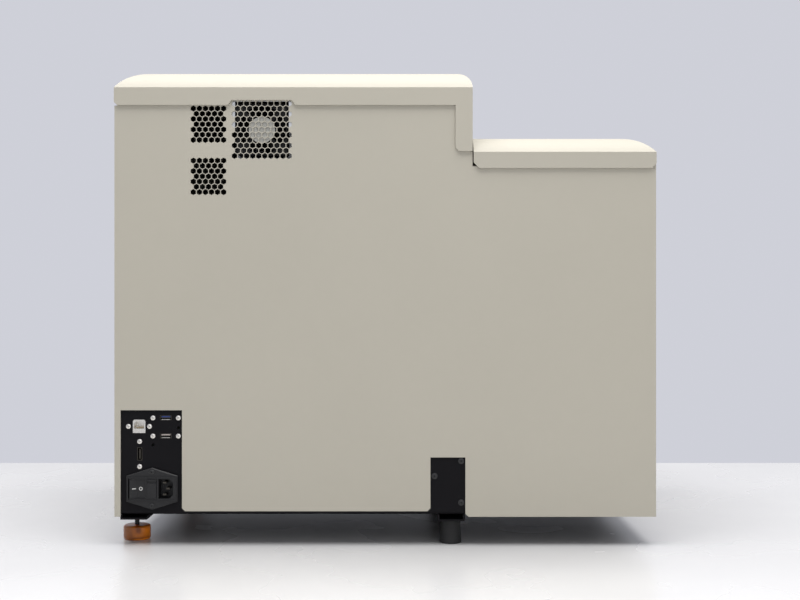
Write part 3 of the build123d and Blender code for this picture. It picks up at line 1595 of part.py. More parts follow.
# The sample carousel: a dished moulding with a ring of tube wells and a centre knob
with BuildPart() as sample_carousel:
    with BuildSketch(Plane.XY.offset(carousel_z)):
        with Locations((carousel_x, carousel_y)):
            Circle(carousel_radius)
    extrude(amount=carousel_height)
    with BuildSketch(Plane.XY.offset(carousel_top_z)):
        with Locations((carousel_x, carousel_y)):
            Circle(carousel_dish_radius)
    extrude(amount=-carousel_dish_depth, mode=Mode.SUBTRACT)
    chamfer(
        sample_carousel.edges().filter_by(GeomType.CIRCLE).group_by(Axis.Z)[-1], carousel_floor / 2
    )
    with BuildSketch(Plane.XY.offset(hub_low_z)):
        with Locations((carousel_x, carousel_y)):
            Circle(carousel_hub_radius)
    extrude(amount=carousel_z - hub_low_z)
    with BuildSketch(Plane.XY.offset(shaft_top_z)):
        with Locations((carousel_x, carousel_y)):
            Circle(knob_radius)
    extrude(amount=knob_height + carousel_dish_depth)
    fillet(sample_carousel.edges().filter_by(GeomType.CIRCLE).group_by(Axis.Z)[-1], carousel_floor)
    with BuildSketch(Plane.XY.offset(hub_low_z)):
        with Locations((carousel_x, carousel_y)):
            Circle(carousel_shaft_radius)
    extrude(amount=shaft_top_z - hub_low_z, mode=Mode.SUBTRACT)
    with BuildSketch(Plane.XY.offset(tube_floor_z)):
        with Locations((carousel_x, carousel_y)):
            with PolarLocations(tube_circle, tube_count):
                Circle(tube_radius + clearance)
    extrude(amount=carousel_height, mode=Mode.SUBTRACT)
sample_carousel.part.label = "sample_carousel"
export_step(sample_carousel.part, "parts/sample_carousel.step")

# The sample tubes: open, flat-based tubes with a rim, one in each well
with BuildPart() as sample_tubes:
    with BuildSketch(Plane.XY.offset(tube_floor_z)):
        with Locations((carousel_x, carousel_y)):
            with PolarLocations(tube_circle, tube_count):
                Circle(tube_radius)
    extrude(amount=tube_length)
    with BuildSketch(Plane.XY.offset(tube_top_z - tube_wall)):
        with Locations((carousel_x, carousel_y)):
            with PolarLocations(tube_circle, tube_count):
                Circle(tube_radius + tube_rim)
    extrude(amount=tube_wall)
    with BuildSketch(Plane.XY.offset(tube_floor_z + tube_wall)):
        with Locations((carousel_x, carousel_y)):
            with PolarLocations(tube_circle, tube_count):
                Circle(tube_radius - tube_wall)
    extrude(amount=tube_length, mode=Mode.SUBTRACT)
sample_tubes.part.label = "sample_tubes"
export_step(sample_tubes.part, "parts/sample_tubes.step")

# The probe tower: a flanged housing that guides the probe's column
tower_top_z = deck_z + tower_height
with BuildPart() as probe_tower:
    with BuildSketch(Plane.XY.offset(deck_z)):
        with Locations((tower_x, tower_y)):
            Circle(tower_flange_radius)
    extrude(amount=tower_flange)
    with BuildSketch(Plane.XY.offset(deck_z)):
        with Locations((tower_x, tower_y)):
            Circle(tower_radius)
    extrude(amount=tower_height)
    chamfer(probe_tower.edges().filter_by(GeomType.CIRCLE).group_by(Axis.Z)[-1], tower_flange / 2)
    with BuildSketch(Plane.XY.offset(deck_z)):
        with Locations((tower_x, tower_y)):
            Circle(column_radius + running)
    extrude(amount=tower_height, mode=Mode.SUBTRACT)
probe_tower.part.label = "probe_tower"
export_step(probe_tower.part, "parts/probe_tower.step")

# The probe column: a turned post with a thrust collar and a cap, which turns the arm
column_top_z = arm_z + arm_height + clearance + column_cap
with BuildPart() as probe_column:
    with BuildSketch(Plane.XY.offset(deck_z + clearance)):
        with Locations((tower_x, tower_y)):
            Circle(column_radius)
    extrude(amount=column_top_z - deck_z - clearance)
    with BuildSketch(Plane.XY.offset(tower_top_z + clearance)):
        with Locations((tower_x, tower_y)):
            Circle(column_collar_radius)
    extrude(amount=column_collar)
    with BuildSketch(Plane.XY.offset(column_top_z - column_cap)):
        with Locations((tower_x, tower_y)):
            Circle(column_cap_radius)
    extrude(amount=column_cap)
probe_column.part.label = "probe_column"
export_step(probe_column.part, "parts/probe_column.step")

# The probe arm: a tapered arm that slides on the column and carries the needle at its tip
arm_plane = Plane(
    origin=(tower_x, tower_y, arm_z),
    x_dir=(cos(radians(arm_angle)), sin(radians(arm_angle)), 0),
    z_dir=(0, 0, 1),
)
with BuildPart() as probe_arm:
    with BuildSketch(arm_plane):
        Circle(arm_root_radius)
        with Locations((arm_length, 0)):
            Circle(arm_tip_radius)
        make_hull()
    extrude(amount=arm_height)
    fillet(probe_arm.edges().group_by(Axis.Z)[-1], arm_height / 6)
    with BuildSketch(arm_plane):
        Circle(column_radius + running)
        with Locations((arm_length, 0)):
            Circle(needle_radius)
    extrude(amount=arm_height, mode=Mode.SUBTRACT)
probe_arm.part.label = "probe_arm"
export_step(probe_arm.part, "parts/probe_arm.step")

# The probe needle: a pointed steel tube through the arm's tip
with BuildPart() as probe_needle:
    with Locations((sample_x, carousel_y, needle_tip_z + needle_point)):
        Cylinder(
            needle_radius,
            needle_reach - needle_point + arm_height + needle_tail,
            align=(Align.CENTER, Align.CENTER, Align.MIN),
        )
    with Locations((sample_x, carousel_y, needle_tip_z)):
        Cone(
            needle_radius / 3,
            needle_radius,
            needle_point,
            align=(Align.CENTER, Align.CENTER, Align.MIN),
        )
probe_needle.part.label = "probe_needle"
export_step(probe_needle.part, "parts/probe_needle.step")

# The wash station: a flanged well in the needle's path
arm_low_z = arm_z - needle_stroke
with BuildPart() as wash_station:
    with BuildSketch(Plane.XY.offset(deck_z)):
        with Locations((wash_x, wash_y)):
            Circle(wash_flange_radius)
    extrude(amount=wash_flange)
    with BuildSketch(Plane.XY.offset(deck_z)):
        with Locations((wash_x, wash_y)):
            Circle(wash_radius)
    extrude(amount=arm_low_z - wash_top_gap - deck_z)
    with BuildSketch(Plane.XY.offset(deck_z + wash_floor)):
        with Locations((wash_x, wash_y)):
            Circle(well_radius)
    extrude(amount=arm_low_z - wash_top_gap - deck_z, mode=Mode.SUBTRACT)
wash_station.part.label = "wash_station"
export_step(wash_station.part, "parts/wash_station.step")

# The syringe pump: a drive housing on the bulkhead with a valve block over the barrel
barrel_y = bulkhead_y - syringe_body_depth - barrel_standoff
syringe_top_z = syringe_low_z + syringe_body_height
valve_low_z = syringe_top_z - valve_drop - valve_height
barrel_low_z = valve_low_z - barrel_length
with BuildPart() as syringe_pump:
    with BuildSketch(Plane.XZ.offset(-bulkhead_y)):
        with Locations((syringe_x, syringe_low_z)):
            Rectangle(syringe_body_width, syringe_body_height, align=(Align.CENTER, Align.MIN))
    extrude(amount=syringe_body_depth)
    chamfer(syringe_pump.faces().sort_by(Axis.Y)[0].edges(), sheet)
    with BuildSketch(Plane.XZ.offset(-bulkhead_y + syringe_body_depth)):
        with Locations((syringe_x, valve_low_z)):
            Rectangle(valve_width, valve_height, align=(Align.CENTER, Align.MIN))
    extrude(amount=barrel_standoff + barrel_radius + valve_drop)
syringe_pump.part.label = "syringe_pump"
export_step(syringe_pump.part, "parts/syringe_pump.step")

# The syringe barrel: a glass tube hung from the valve block
with BuildPart() as syringe_barrel:
    with BuildSketch(Plane.XY.offset(barrel_low_z)):
        with Locations((syringe_x, barrel_y)):
            Circle(barrel_radius)
            Circle(bore_radius, mode=Mode.SUBTRACT)
    extrude(amount=barrel_length)
syringe_barrel.part.label = "syringe_barrel"
export_step(syringe_barrel.part, "parts/syringe_barrel.step")

# The syringe plunger: a sealed head on a rod, driven by a carriage in front of the housing
plunger_top_z = valve_low_z - clearance
rod_low_z = plunger_top_z - plunger_head - plunger_rod_length
with BuildPart() as syringe_plunger:
    with BuildSketch(Plane.XY.offset(plunger_top_z)):
        with Locations((syringe_x, barrel_y)):
            Circle(bore_radius - running)
    extrude(amount=-plunger_head)
    with BuildSketch(Plane.XY.offset(plunger_top_z - plunger_head)):
        with Locations((syringe_x, barrel_y)):
            Circle(plunger_rod_radius)
    extrude(amount=-plunger_rod_length)
    with BuildSketch(Plane.XY.offset(rod_low_z)):
        with Locations((syringe_x, bulkhead_y - syringe_body_depth - clearance)):
            Rectangle(
                carriage_width,
                barrel_standoff + barrel_radius - clearance,
                align=(Align.CENTER, Align.MAX),
            )
    extrude(amount=-carriage_height)
syringe_plunger.part.label = "syringe_plunger"
export_step(syringe_plunger.part, "parts/syringe_plunger.step")

# The tubing pump: a cup on the bulkhead, open to the front, with a roller rotor inside
with BuildPart() as tubing_pump:
    with BuildSketch(Plane.XZ.offset(-bulkhead_y)):
        with Locations((pump_x, pump_z)):
            Circle(pump_radius)
    extrude(amount=pump_depth)
    with BuildSketch(Plane.XZ.offset(-bulkhead_y + pump_floor)):
        with Locations((pump_x, pump_z)):
            Circle(pump_radius - pump_wall)
    extrude(amount=pump_depth, mode=Mode.SUBTRACT)
    with BuildSketch(Plane.XZ.offset(-bulkhead_y)):
        with Locations((pump_x, pump_z)):
            Circle(rotor_shaft_radius + running)
    extrude(amount=pump_floor, mode=Mode.SUBTRACT)
tubing_pump.part.label = "tubing_pump"
export_step(tubing_pump.part, "parts/tubing_pump.step")

with BuildPart() as pump_rotor:
    with BuildSketch(Plane.XZ.offset(-bulkhead_y + clearance)):
        with Locations((pump_x, pump_z)):
            Circle(rotor_shaft_radius)
    extrude(amount=pump_depth - rotor_disc)
    for disc_y in (pump_floor + clearance, pump_depth - rotor_disc):
        with BuildSketch(Plane.XZ.offset(-bulkhead_y + disc_y)):
            with Locations((pump_x, pump_z)):
                Circle(roller_circle)
        extrude(amount=rotor_disc)
    with BuildSketch(Plane.XZ.offset(-bulkhead_y + pump_floor + clearance)):
        with Locations((pump_x, pump_z)):
            with PolarLocations(roller_circle, roller_count):
                Circle(roller_radius)
    extrude(amount=pump_depth - pump_floor - clearance)
pump_rotor.part.label = "pump_rotor"
export_step(pump_rotor.part, "parts/pump_rotor.step")

# The reagent rack: a folded tray on the pan, open at the top
rack_middle_x = (rack_left_x + rack_right_x) / 2
rack_middle_y = (rack_front_y + rack_rear_y) / 2
rack_width = rack_right_x - rack_left_x
rack_depth = rack_rear_y - rack_front_y
with BuildPart() as reagent_rack:
    with BuildSketch(Plane.XY.offset(pan_top)):
        with Locations((rack_middle_x, rack_middle_y)):
            Rectangle(rack_width, rack_depth)
    extrude(amount=rack_height)
    with BuildSketch(Plane.XY.offset(pan_top + rack_wall)):
        with Locations((rack_middle_x, rack_middle_y)):
            Rectangle(rack_width - 2 * rack_wall, rack_depth - 2 * rack_wall)
    extrude(amount=rack_height, mode=Mode.SUBTRACT)
reagent_rack.part.label = "reagent_rack"
export_step(reagent_rack.part, "parts/reagent_rack.step")

# The reagent bottles: square-shouldered bottles side by side in the rack, each with a ribbed cap
bottle_pitch = (rack_width - 2 * rack_wall) / bottle_count
bottle_width = bottle_pitch - bottle_gap
bottle_depth = rack_depth - 2 * (rack_wall + bottle_end_gap)
bottle_places = [
    (rack_middle_x + (place - (bottle_count - 1) / 2) * bottle_pitch, rack_middle_y)
    for place in range(bottle_count)
]
bottle_low_z = pan_top + rack_wall
with BuildPart() as reagent_bottles:
    with BuildSketch(Plane.XY.offset(bottle_low_z)):
        with Locations(*bottle_places):
            RectangleRounded(bottle_width, bottle_depth, bottle_round)
    extrude(amount=bottle_height)
    fillet(reagent_bottles.edges().group_by(Axis.Z)[-1], bottle_round / 2)
    with BuildSketch(Plane.XY.offset(bottle_low_z + bottle_height)):
        with Locations(*bottle_places):
            Circle(neck_radius)
    extrude(amount=neck_height)
    with BuildSketch(Plane.XY.offset(bottle_low_z + bottle_height + neck_height)):
        with Locations(*bottle_places):
            Circle(cap_radius)
    extrude(amount=cap_height)
    chamfer(reagent_bottles.edges().group_by(Axis.Z)[-1], rack_wall)
reagent_bottles.part.label = "reagent_bottles"
export_step(reagent_bottles.part, "parts/reagent_bottles.step")

# The optical bench: a thick plate on four legs, which carries the imaging train
bench_top_z = pan_top + bench_leg + bench_thickness
with BuildPart() as optical_bench:
    with BuildSketch(Plane.XY.offset(bench_top_z)):
        with Locations((bench_x, bench_y)):
            RectangleRounded(bench_length, bench_width, bench_leg_radius)
    extrude(amount=-bench_thickness)
    with BuildSketch(Plane.XY.offset(pan_top)):
        with Locations((bench_x, bench_y)):
            with GridLocations(
                bench_length - 3 * bench_leg_radius, bench_width - 3 * bench_leg_radius, 2, 2
            ):
                Circle(bench_leg_radius)
    extrude(amount=bench_leg)
optical_bench.part.label = "optical_bench"
export_step(optical_bench.part, "parts/optical_bench.step")

# The imaging train: camera, objective, flow cell holder and lamp in line on the bench
optic_axis_z = bench_top_z + optic_axis_height
camera_x = bench_x - bench_length / 2 + optic_gap
objective_x = camera_x + camera_length
cell_x = objective_x + objective_length + optic_gap
lamp_x = cell_x + cell_thickness + optic_gap
with BuildPart() as imaging_train:
    with BuildSketch(Plane.YZ.offset(camera_x)):
        with Locations((bench_y, bench_top_z)):
            Rectangle(
                camera_size, optic_axis_height + camera_size / 2, align=(Align.CENTER, Align.MIN)
            )
    extrude(amount=camera_length)
    with BuildSketch(Plane.YZ.offset(objective_x)):
        with Locations((bench_y, optic_axis_z)):
            Circle(objective_radius)
    extrude(amount=objective_length)
    with BuildSketch(Plane.YZ.offset(cell_x)):
        with Locations((bench_y, bench_top_z)):
            Rectangle(
                cell_width, optic_axis_height + cell_width / 2, align=(Align.CENTER, Align.MIN)
            )
        with Locations((bench_y, optic_axis_z)):
            Circle(objective_radius / 3, mode=Mode.SUBTRACT)
    extrude(amount=cell_thickness)
    with BuildSketch(Plane.YZ.offset(lamp_x)):
        with Locations((bench_y, optic_axis_z)):
            Circle(lamp_radius)
        with Locations((bench_y, bench_top_z)):
            Rectangle(lamp_radius, optic_axis_height, align=(Align.CENTER, Align.MIN))
    extrude(amount=lamp_length)
imaging_train.part.label = "imaging_train"
export_step(imaging_train.part, "parts/imaging_train.step")

# The power supply: a closed box on the pan
with BuildPart() as power_supply:
    with BuildSketch(Plane.XY.offset(pan_top)):
        with Locations((supply_x, supply_y)):
            Rectangle(supply_width, supply_length)
    extrude(amount=supply_height)
    chamfer(power_supply.edges().filter_by(Axis.Z), sheet)
power_supply.part.label = "power_supply"
export_step(power_supply.part, "parts/power_supply.step")

# The main board: a circuit board on four standoffs, with a cooled processor and two headers
board_z = pan_top + standoff_height
with BuildPart() as main_board:
    with BuildSketch(Plane.XY.offset(board_z)):
        with Locations((board_x, board_y)):
            Rectangle(board_width, board_length)
    extrude(amount=board_thickness)
    with BuildSketch(Plane.XY.offset(board_z + board_thickness)):
        with Locations((board_x, board_y)):
            Rectangle(chip_size, chip_size)
    extrude(amount=chip_height)
    with BuildSketch(Plane.XY.offset(board_z + board_thickness)):
        with Locations((board_x, board_y)):
            with GridLocations(board_width - 2 * header_width, 0, 2, 1):
                Rectangle(header_width, board_length / 2)
    extrude(amount=header_height)
    with BuildSketch(Plane.XY.offset(pan_top)):
        with Locations((board_x, board_y)):
            with GridLocations(
                board_width - 2 * standoff_inset, board_length - 2 * standoff_inset, 2, 2
            ):
                Circle(standoff_radius)
    extrude(amount=standoff_height)
main_board.part.label = "main_board"
export_step(main_board.part, "parts/main_board.step")
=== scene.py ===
import math

import bmesh
import bpy
from mathutils import Euler, Matrix, Vector
from mathutils.bvhtree import BVHTree


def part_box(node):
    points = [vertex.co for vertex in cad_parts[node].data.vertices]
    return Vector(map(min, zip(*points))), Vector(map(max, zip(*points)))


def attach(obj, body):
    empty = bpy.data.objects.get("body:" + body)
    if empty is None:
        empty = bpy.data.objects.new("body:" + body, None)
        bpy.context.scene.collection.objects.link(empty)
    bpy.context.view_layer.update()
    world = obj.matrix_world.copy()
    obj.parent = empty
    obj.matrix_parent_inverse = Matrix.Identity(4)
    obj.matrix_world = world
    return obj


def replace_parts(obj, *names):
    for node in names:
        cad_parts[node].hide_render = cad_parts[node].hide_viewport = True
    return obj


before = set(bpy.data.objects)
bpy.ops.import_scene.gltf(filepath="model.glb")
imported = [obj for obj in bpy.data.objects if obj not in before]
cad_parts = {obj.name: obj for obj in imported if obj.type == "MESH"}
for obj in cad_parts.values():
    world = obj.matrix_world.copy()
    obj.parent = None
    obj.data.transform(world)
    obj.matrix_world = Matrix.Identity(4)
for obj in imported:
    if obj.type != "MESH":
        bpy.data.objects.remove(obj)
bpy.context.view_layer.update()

# The camera stands level to the left of the analyzer, square to its side panel, with the lens a
# little above the middle of the case, so that the panel shows without perspective.
camera_distance = 1.392
camera_side = -0.0174
camera_height = 0.287
camera_lens = 53.1
horizon_drop = 3
frame_width = 800
camera = bpy.data.objects.new("camera", bpy.data.cameras.new("camera"))
bpy.context.scene.collection.objects.link(camera)
panel_low, panel_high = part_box("left_side_panel")
camera.location = (panel_low[0] - camera_distance, camera_side, camera_height)
camera.rotation_euler = (math.radians(90), 0, math.radians(-90))
camera.data.lens = camera_lens
camera.data.shift_y = horizon_drop / frame_width
bpy.context.scene.camera = camera
bpy.context.scene.view_settings.view_transform = "Standard"


# The case paint: a warm grey-beige enamel baked on steel sheet, with a fine spattered grain and
# faint scuffs. The panels, the rear, the door and both covers wear it.
class Reading:
    """What a socket of a tree gives; arithmetic on it adds the maths nodes."""

    def __init__(self, owner, socket):
        self.owner = owner
        self.socket = socket

    def maths(self, operation, first, second=0.0):
        return self.owner.node(
            "ShaderNodeMath", {"operation": operation}, {0: first, 1: second}
        )

    def __add__(self, other):
        return self.maths("ADD", self, other)

    def __rsub__(self, other):
        return self.maths("SUBTRACT", other, self)

    def __mul__(self, other):
        return self.maths("MULTIPLY", self, other)

    def __truediv__(self, other):
        return self.maths("DIVIDE", self, other)

    def __gt__(self, other):
        return self.maths("GREATER_THAN", self, other)

    __radd__ = __add__
    __rmul__ = __mul__


class Tree:
    """A node tree, for a finish or for a pattern of solids."""

    def __init__(self, tree):
        self.tree = tree

    def node(self, kind, settings=None, sockets=None, output=0):
        """Adds one node: its settings, then the values or links of its sockets."""
        made = self.tree.nodes.new(kind)
        for name, value in (settings or {}).items():
            setattr(made, name, value)
        for name, value in (sockets or {}).items():
            if isinstance(name, int):
                socket = made.inputs[name]
            else:
                socket = next(s for s in made.inputs if name in (s.identifier, s.name))
            if isinstance(value, Reading):
                self.tree.links.new(value.socket, socket)
            else:
                socket.default_value = value
        found = [s for s in made.outputs if output in (s.identifier, s.name)]
        return Reading(self, found[0] if found else made.outputs[output])


class Finish(Tree):
    """A surface finish, built from nodes on the shader of one material."""

    def __init__(self, name, **fixed):
        self.material = bpy.data.materials.new(name)
        self.material.use_nodes = True
        super().__init__(self.material.node_tree)
        self.shader = self.tree.nodes["Principled BSDF"]
        for socket, value in fixed.items():
            self.shader.inputs[socket.replace("_", " ")].default_value = value

    def place(self, stretch=(1, 1, 1)):
        """Where a point lies on the piece, in metres, stretched for a grain."""
        spot = self.node("ShaderNodeTexCoord", output="Object")
        settings = {"vector_type": "POINT"}
        return self.node("ShaderNodeMapping", settings, {"Vector": spot, "Scale": stretch})

    def clouds(self, size, detail=3.0, at=None):
        """Soft irregular patches of about that size in metres, from 0 to 1."""
        sockets = {"Vector": at or self.place(), "Scale": 1 / size, "Detail": detail}
        return self.node("ShaderNodeTexNoise", None, sockets, "Fac")

    def blend(self, share, low, high):
        """A colour that goes from low to high with share."""
        colours = [c if isinstance(c, Reading) else (*c, 1.0) for c in (low, high)]
        sockets = {"Factor_Float": share, "A_Color": colours[0], "B_Color": colours[1]}
        return self.node("ShaderNodeMix", {"data_type": "RGBA"}, sockets, "Result_Color")

    def steep(self, value, low, high):
        """The value as a share of the way from low to high, held to 0 and 1 beyond."""
        sockets = {"Value": value, "From Min": low, "From Max": high}
        return self.node("ShaderNodeMapRange", {"clamp": True}, sockets, "Result")

    def relief(self, height, depth, under=None):
        """A bump whose full height is depth in metres."""
        sockets = {"Height": height, "Distance": depth, "Strength": 1.0}
        if under:
            sockets["Normal"] = under
        return self.node("ShaderNodeBump", None, sockets, "Normal")

    def wear(self, **sockets):
        """Feeds the shader: what changes over the surface, by socket name."""
        for name, value in sockets.items():
            self.tree.links.new(value.socket, self.shader.inputs[name.replace("_", " ")])


def enamel(name, colour, shade, roughness):
    """A baked paint with a fine grain, cloudy by a trace and scuffed here and there."""
    paint = Finish(name, IOR=1.5)
    tone = paint.clouds(0.16, 4.0) * 0.7 + paint.clouds(0.011, 2.0) * 0.3
    scuffs = paint.steep(paint.clouds(0.035, 6.0), 0.60, 0.74)
    where = paint.steep(paint.clouds(0.22, 1.0), 0.48, 0.66)
    paint.wear(
        Base_Color=paint.blend(tone, shade, colour),
        Roughness=roughness - 0.10 * (scuffs * where) + 0.06 * tone,
        Normal=paint.relief(
            paint.clouds(0.0011, 2.0), 0.00003, paint.relief(paint.clouds(0.3, 0.0), 0.0012)
        ),
    )
    return paint


def dress(finish, *nodes):
    """The finish of whole CAD pieces."""
    for name in nodes:
        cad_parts[name].data.materials.clear()
        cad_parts[name].data.materials.append(finish.material)


paint_colour = (0.515, 0.487, 0.415)
paint_shade = (0.475, 0.450, 0.382)
case_paint = enamel("case_paint", paint_colour, paint_shade, 0.50)
dress(case_paint, "left_side_panel", "right_side_panel", "rear_panel", "front_door", "front_frame")
dress(case_paint, "top_cover", "front_lid")

# The black sheet: powder-coated steel of the base pan, its brackets and channels, and the
# connector plate. The coat has a fine dry grain.
black_sheet = Finish("black_sheet", IOR=1.33, Specular_IOR_Level=0.25)
black_tone = black_sheet.clouds(0.05, 3.0)
black_sheet.wear(
    Base_Color=black_sheet.blend(black_tone, (0.0030, 0.0028, 0.0038), (0.0055, 0.0050, 0.0065)),
    Roughness=0.52 + 0.12 * black_tone,
    Normal=black_sheet.relief(black_sheet.clouds(0.0009, 2.0), 0.00005),
)
dress(black_sheet, "base_pan", "rear_foot_brackets", "front_foot_channels", "io_plate")

# The zinc sheet: folded chassis parts in zinc-plated steel, with a dull cloudy spangle. The
# bulkhead, the rails, the brackets, the rack and the power supply's case are made of it.
zinc_sheet = Finish("zinc_sheet", Metallic=1.0)
spangle = zinc_sheet.node(
    "ShaderNodeTexVoronoi", None, {"Vector": zinc_sheet.place(), "Scale": 1 / 0.007}, "Color"
)
zinc_tone = zinc_sheet.clouds(0.04, 3.0)
zinc_sheet.wear(
    Base_Color=zinc_sheet.blend(
        zinc_tone * 0.5 + spangle * 0.4, (0.50, 0.51, 0.52), (0.68, 0.69, 0.69)
    ),
    Roughness=0.34 + 0.18 * zinc_tone,
    Normal=zinc_sheet.relief(zinc_sheet.clouds(0.0006, 1.0), 0.00001),
)
dress(
    zinc_sheet, "bulkhead", "top_rails", "fan_bracket", "lid_hinge_brackets", "reagent_rack",
    "power_supply",
)

# The aluminium: the deck, the optical bench and the probe's tower, milled and clear anodised,
# with the faint straight lines of the cutter.
aluminium = Finish("aluminium", Metallic=1.0)
cutter_lines = aluminium.clouds(0.0012, 3.0, aluminium.place(stretch=(0.02, 1, 1)))
aluminium.wear(
    Base_Color=aluminium.blend(cutter_lines, (0.66, 0.66, 0.67), (0.80, 0.80, 0.81)),
    Roughness=0.26 + 0.20 * cutter_lines,
    Normal=aluminium.relief(cutter_lines, 0.000012),
)
dress(aluminium, "deck_plate", "optical_bench", "probe_tower", "syringe_plunger")

# The steel: turned pins, shafts and studs, ground bright. The lines of the lathe run round them,
# so the grain is stretched across each piece.
steel = Finish("steel", Metallic=1.0)
turned_lines = steel.clouds(0.0007, 2.0, steel.place(stretch=(0.05, 0.05, 1)))
steel.wear(
    Base_Color=steel.blend(turned_lines, (0.46, 0.46, 0.47), (0.62, 0.62, 0.62)),
    Roughness=0.20 + 0.18 * turned_lines,
    Normal=steel.relief(turned_lines, 0.000008),
)
dress(
    steel, "cover_studs", "lid_hinge_pins", "door_pivots", "carousel_shaft", "probe_column",
    "probe_needle", "foot_lock_nuts", "rear_screws",
)

# The nickel: the bright plated shell of the network socket and the screws round the sockets, a
# little cloudy from handling.
nickel = Finish("nickel", Metallic=1.0)
plate_tone = nickel.clouds(0.002, 3.0)
nickel.wear(
    Base_Color=nickel.blend(plate_tone, (0.60, 0.58, 0.54), (0.76, 0.74, 0.70)),
    Roughness=0.18 + 0.18 * plate_tone,
)
dress(nickel, "ethernet_jack", "port_screws")

# The recessed metal: the small data and video sockets, the inlet's pins and the fan's screws are
# plated steel
#  whose colour is made near-black as painted shade for the recesses where it hardly shines.
dull_plate = Finish("dull_plate", Metallic=1.0)
recess_shade_tone = dull_plate.clouds(0.003, 3.0)
dull_plate.wear(
    # Painted shade: the near-black base colour stands in for the shade inside the recesses.
    Base_Color=dull_plate.blend(recess_shade_tone, (0.050, 0.046, 0.040), (0.085, 0.078, 0.066)),
    Roughness=0.34 + 0.16 * recess_shade_tone,
)
dress(dull_plate, "upper_usb_port", "lower_usb_port", "video_port", "inlet_pins", "fan_screws")


# The moulded pieces: plastics with a spark-eroded texture, rubber feet, amber cushions, clear
# tubes, the glass barrel and the board, with the blackened steel that has the same fine grain.
def moulded(name, dark, light, roughness, grain=0.0006, depth=0.00002, **fixed):
    """A moulded plastic with a spark-eroded texture."""
    plastic = Finish(name, **fixed)
    tone = plastic.clouds(0.03, 3.0)
    plastic.wear(
        Base_Color=plastic.blend(tone, dark, light),
        Roughness=roughness + 0.10 * tone,
        Normal=plastic.relief(plastic.clouds(grain, 2.0), depth),
    )
    return plastic


black_plastic = moulded(
    "black_plastic", (0.006, 0.006, 0.007), (0.010, 0.010, 0.011), 0.42, Specular_IOR_Level=0.4
)
dress(black_plastic, "power_inlet", "power_rocker", "fuse_drawer")
fan_black = moulded(
    "fan_black", (0.003, 0.003, 0.0035), (0.005, 0.005, 0.0055), 0.55, Specular_IOR_Level=0.2
)
dress(fan_black, "fan_frame", "fan_rotor")
black_steel = moulded("black_steel", (0.007, 0.007, 0.008), (0.016, 0.016, 0.017), 0.34)
dress(black_steel, "inlet_screws", "flange_screws", "left_foot_stud", "right_foot_stud")
dress(black_steel, "carousel_motor", "imaging_train")
grey_plastic = moulded("grey_plastic", (0.26, 0.27, 0.28), (0.30, 0.31, 0.32), 0.45)
dress(grey_plastic, "syringe_pump", "tubing_pump")
white_plastic = moulded("white_plastic", (0.70, 0.70, 0.67), (0.76, 0.76, 0.73), 0.38)
dress(
    white_plastic, "sample_carousel", "probe_arm", "wash_station", "pump_rotor",
    "reagent_bottles",
)
rubber = moulded("rubber", (0.006, 0.006, 0.006), (0.012, 0.012, 0.012), 0.62, 0.0010, 0.00004)
dress(rubber, "front_feet")
clear_plastic = moulded(
    "clear_plastic", (0.90, 0.94, 0.95), (0.94, 0.97, 0.98), 0.04, IOR=1.49,
    Transmission_Weight=0.95,
)
dress(clear_plastic, "sample_tubes")
amber = moulded(
    "amber_plastic", (0.62, 0.16, 0.010), (0.74, 0.24, 0.014), 0.26, IOR=1.5,
    Transmission_Weight=0.75,
)
dress(amber, "left_foot_pad", "right_foot_pad")
glass = moulded(
    "glass", (0.94, 0.97, 0.97), (0.97, 0.99, 0.99), 0.02, IOR=1.47, Transmission_Weight=1.0
)
dress(glass, "syringe_barrel")
board_green = moulded("green_board", (0.012, 0.10, 0.035), (0.018, 0.15, 0.050), 0.35)
dress(board_green, "main_board")

# The screws: pan heads with a cross recess, nickel plated round the data sockets, blackened on the
# inlet and in the foot notches, and zinc-bright on the rear panel. Each turns to its own angle.
class Pattern(Tree):
    """A Geometry Nodes tree with named inputs, which ends in real mesh with its material."""

    def __init__(self, name, **kinds):
        super().__init__(bpy.data.node_groups.new(name, "GeometryNodeTree"))
        face = self.tree.interface
        face.new_socket("Places", in_out="INPUT", socket_type="NodeSocketGeometry")
        self.identifiers = {}
        for title, kind in {**kinds, "Material": "Material"}.items():
            made = face.new_socket(
                title.replace("_", " "), in_out="INPUT", socket_type="NodeSocket" + kind
            )
            self.identifiers[title] = made.identifier
        face.new_socket("Pieces", in_out="OUTPUT", socket_type="NodeSocketGeometry")
        self.entry = self.tree.nodes.new("NodeGroupInput")

    def given(self, title):
        """An input of the tree, by its name."""
        return Reading(self, self.entry.outputs[title])

    def joined(self, *parts):
        """Several geometries as one."""
        made = self.tree.nodes.new("GeometryNodeJoinGeometry")
        for part in reversed(parts):
            self.tree.links.new(part.socket, made.inputs[0])
        return Reading(self, made.outputs[0])

    def vector(self, x=0.0, y=0.0, z=0.0):
        return self.node("ShaderNodeCombineXYZ", None, {"X": x, "Y": y, "Z": z})

    def moved(self, geometry, shift):
        return self.node(
            "GeometryNodeTransform", None, {"Geometry": geometry, "Translation": shift}
        )

    def close(self, instances):
        """Ends the tree: real mesh, with its material."""
        real = self.node("GeometryNodeRealizeInstances", None, {"Geometry": instances})
        dressed = self.node(
            "GeometryNodeSetMaterial", None, {"Geometry": real, "Material": self.given("Material")}
        )
        made = self.tree.nodes.new("NodeGroupOutput")
        self.tree.links.new(dressed.socket, made.inputs[0])

    def run(self, places, **values):
        """A plain mesh: the tree run on a mesh whose points are the given places."""
        points = bpy.data.meshes.new("places")
        points.from_pydata([tuple(place) for place in places], [], [])
        holder = bpy.data.objects.new("places", points)
        bpy.context.scene.collection.objects.link(holder)
        modifier = holder.modifiers.new("pattern", "NODES")
        modifier.node_group = self.tree
        for title, value in values.items():
            modifier[self.identifiers[title]] = value
        graph = bpy.context.evaluated_depsgraph_get()
        mesh = bpy.data.meshes.new_from_object(holder.evaluated_get(graph))
        bpy.data.objects.remove(holder)
        return mesh


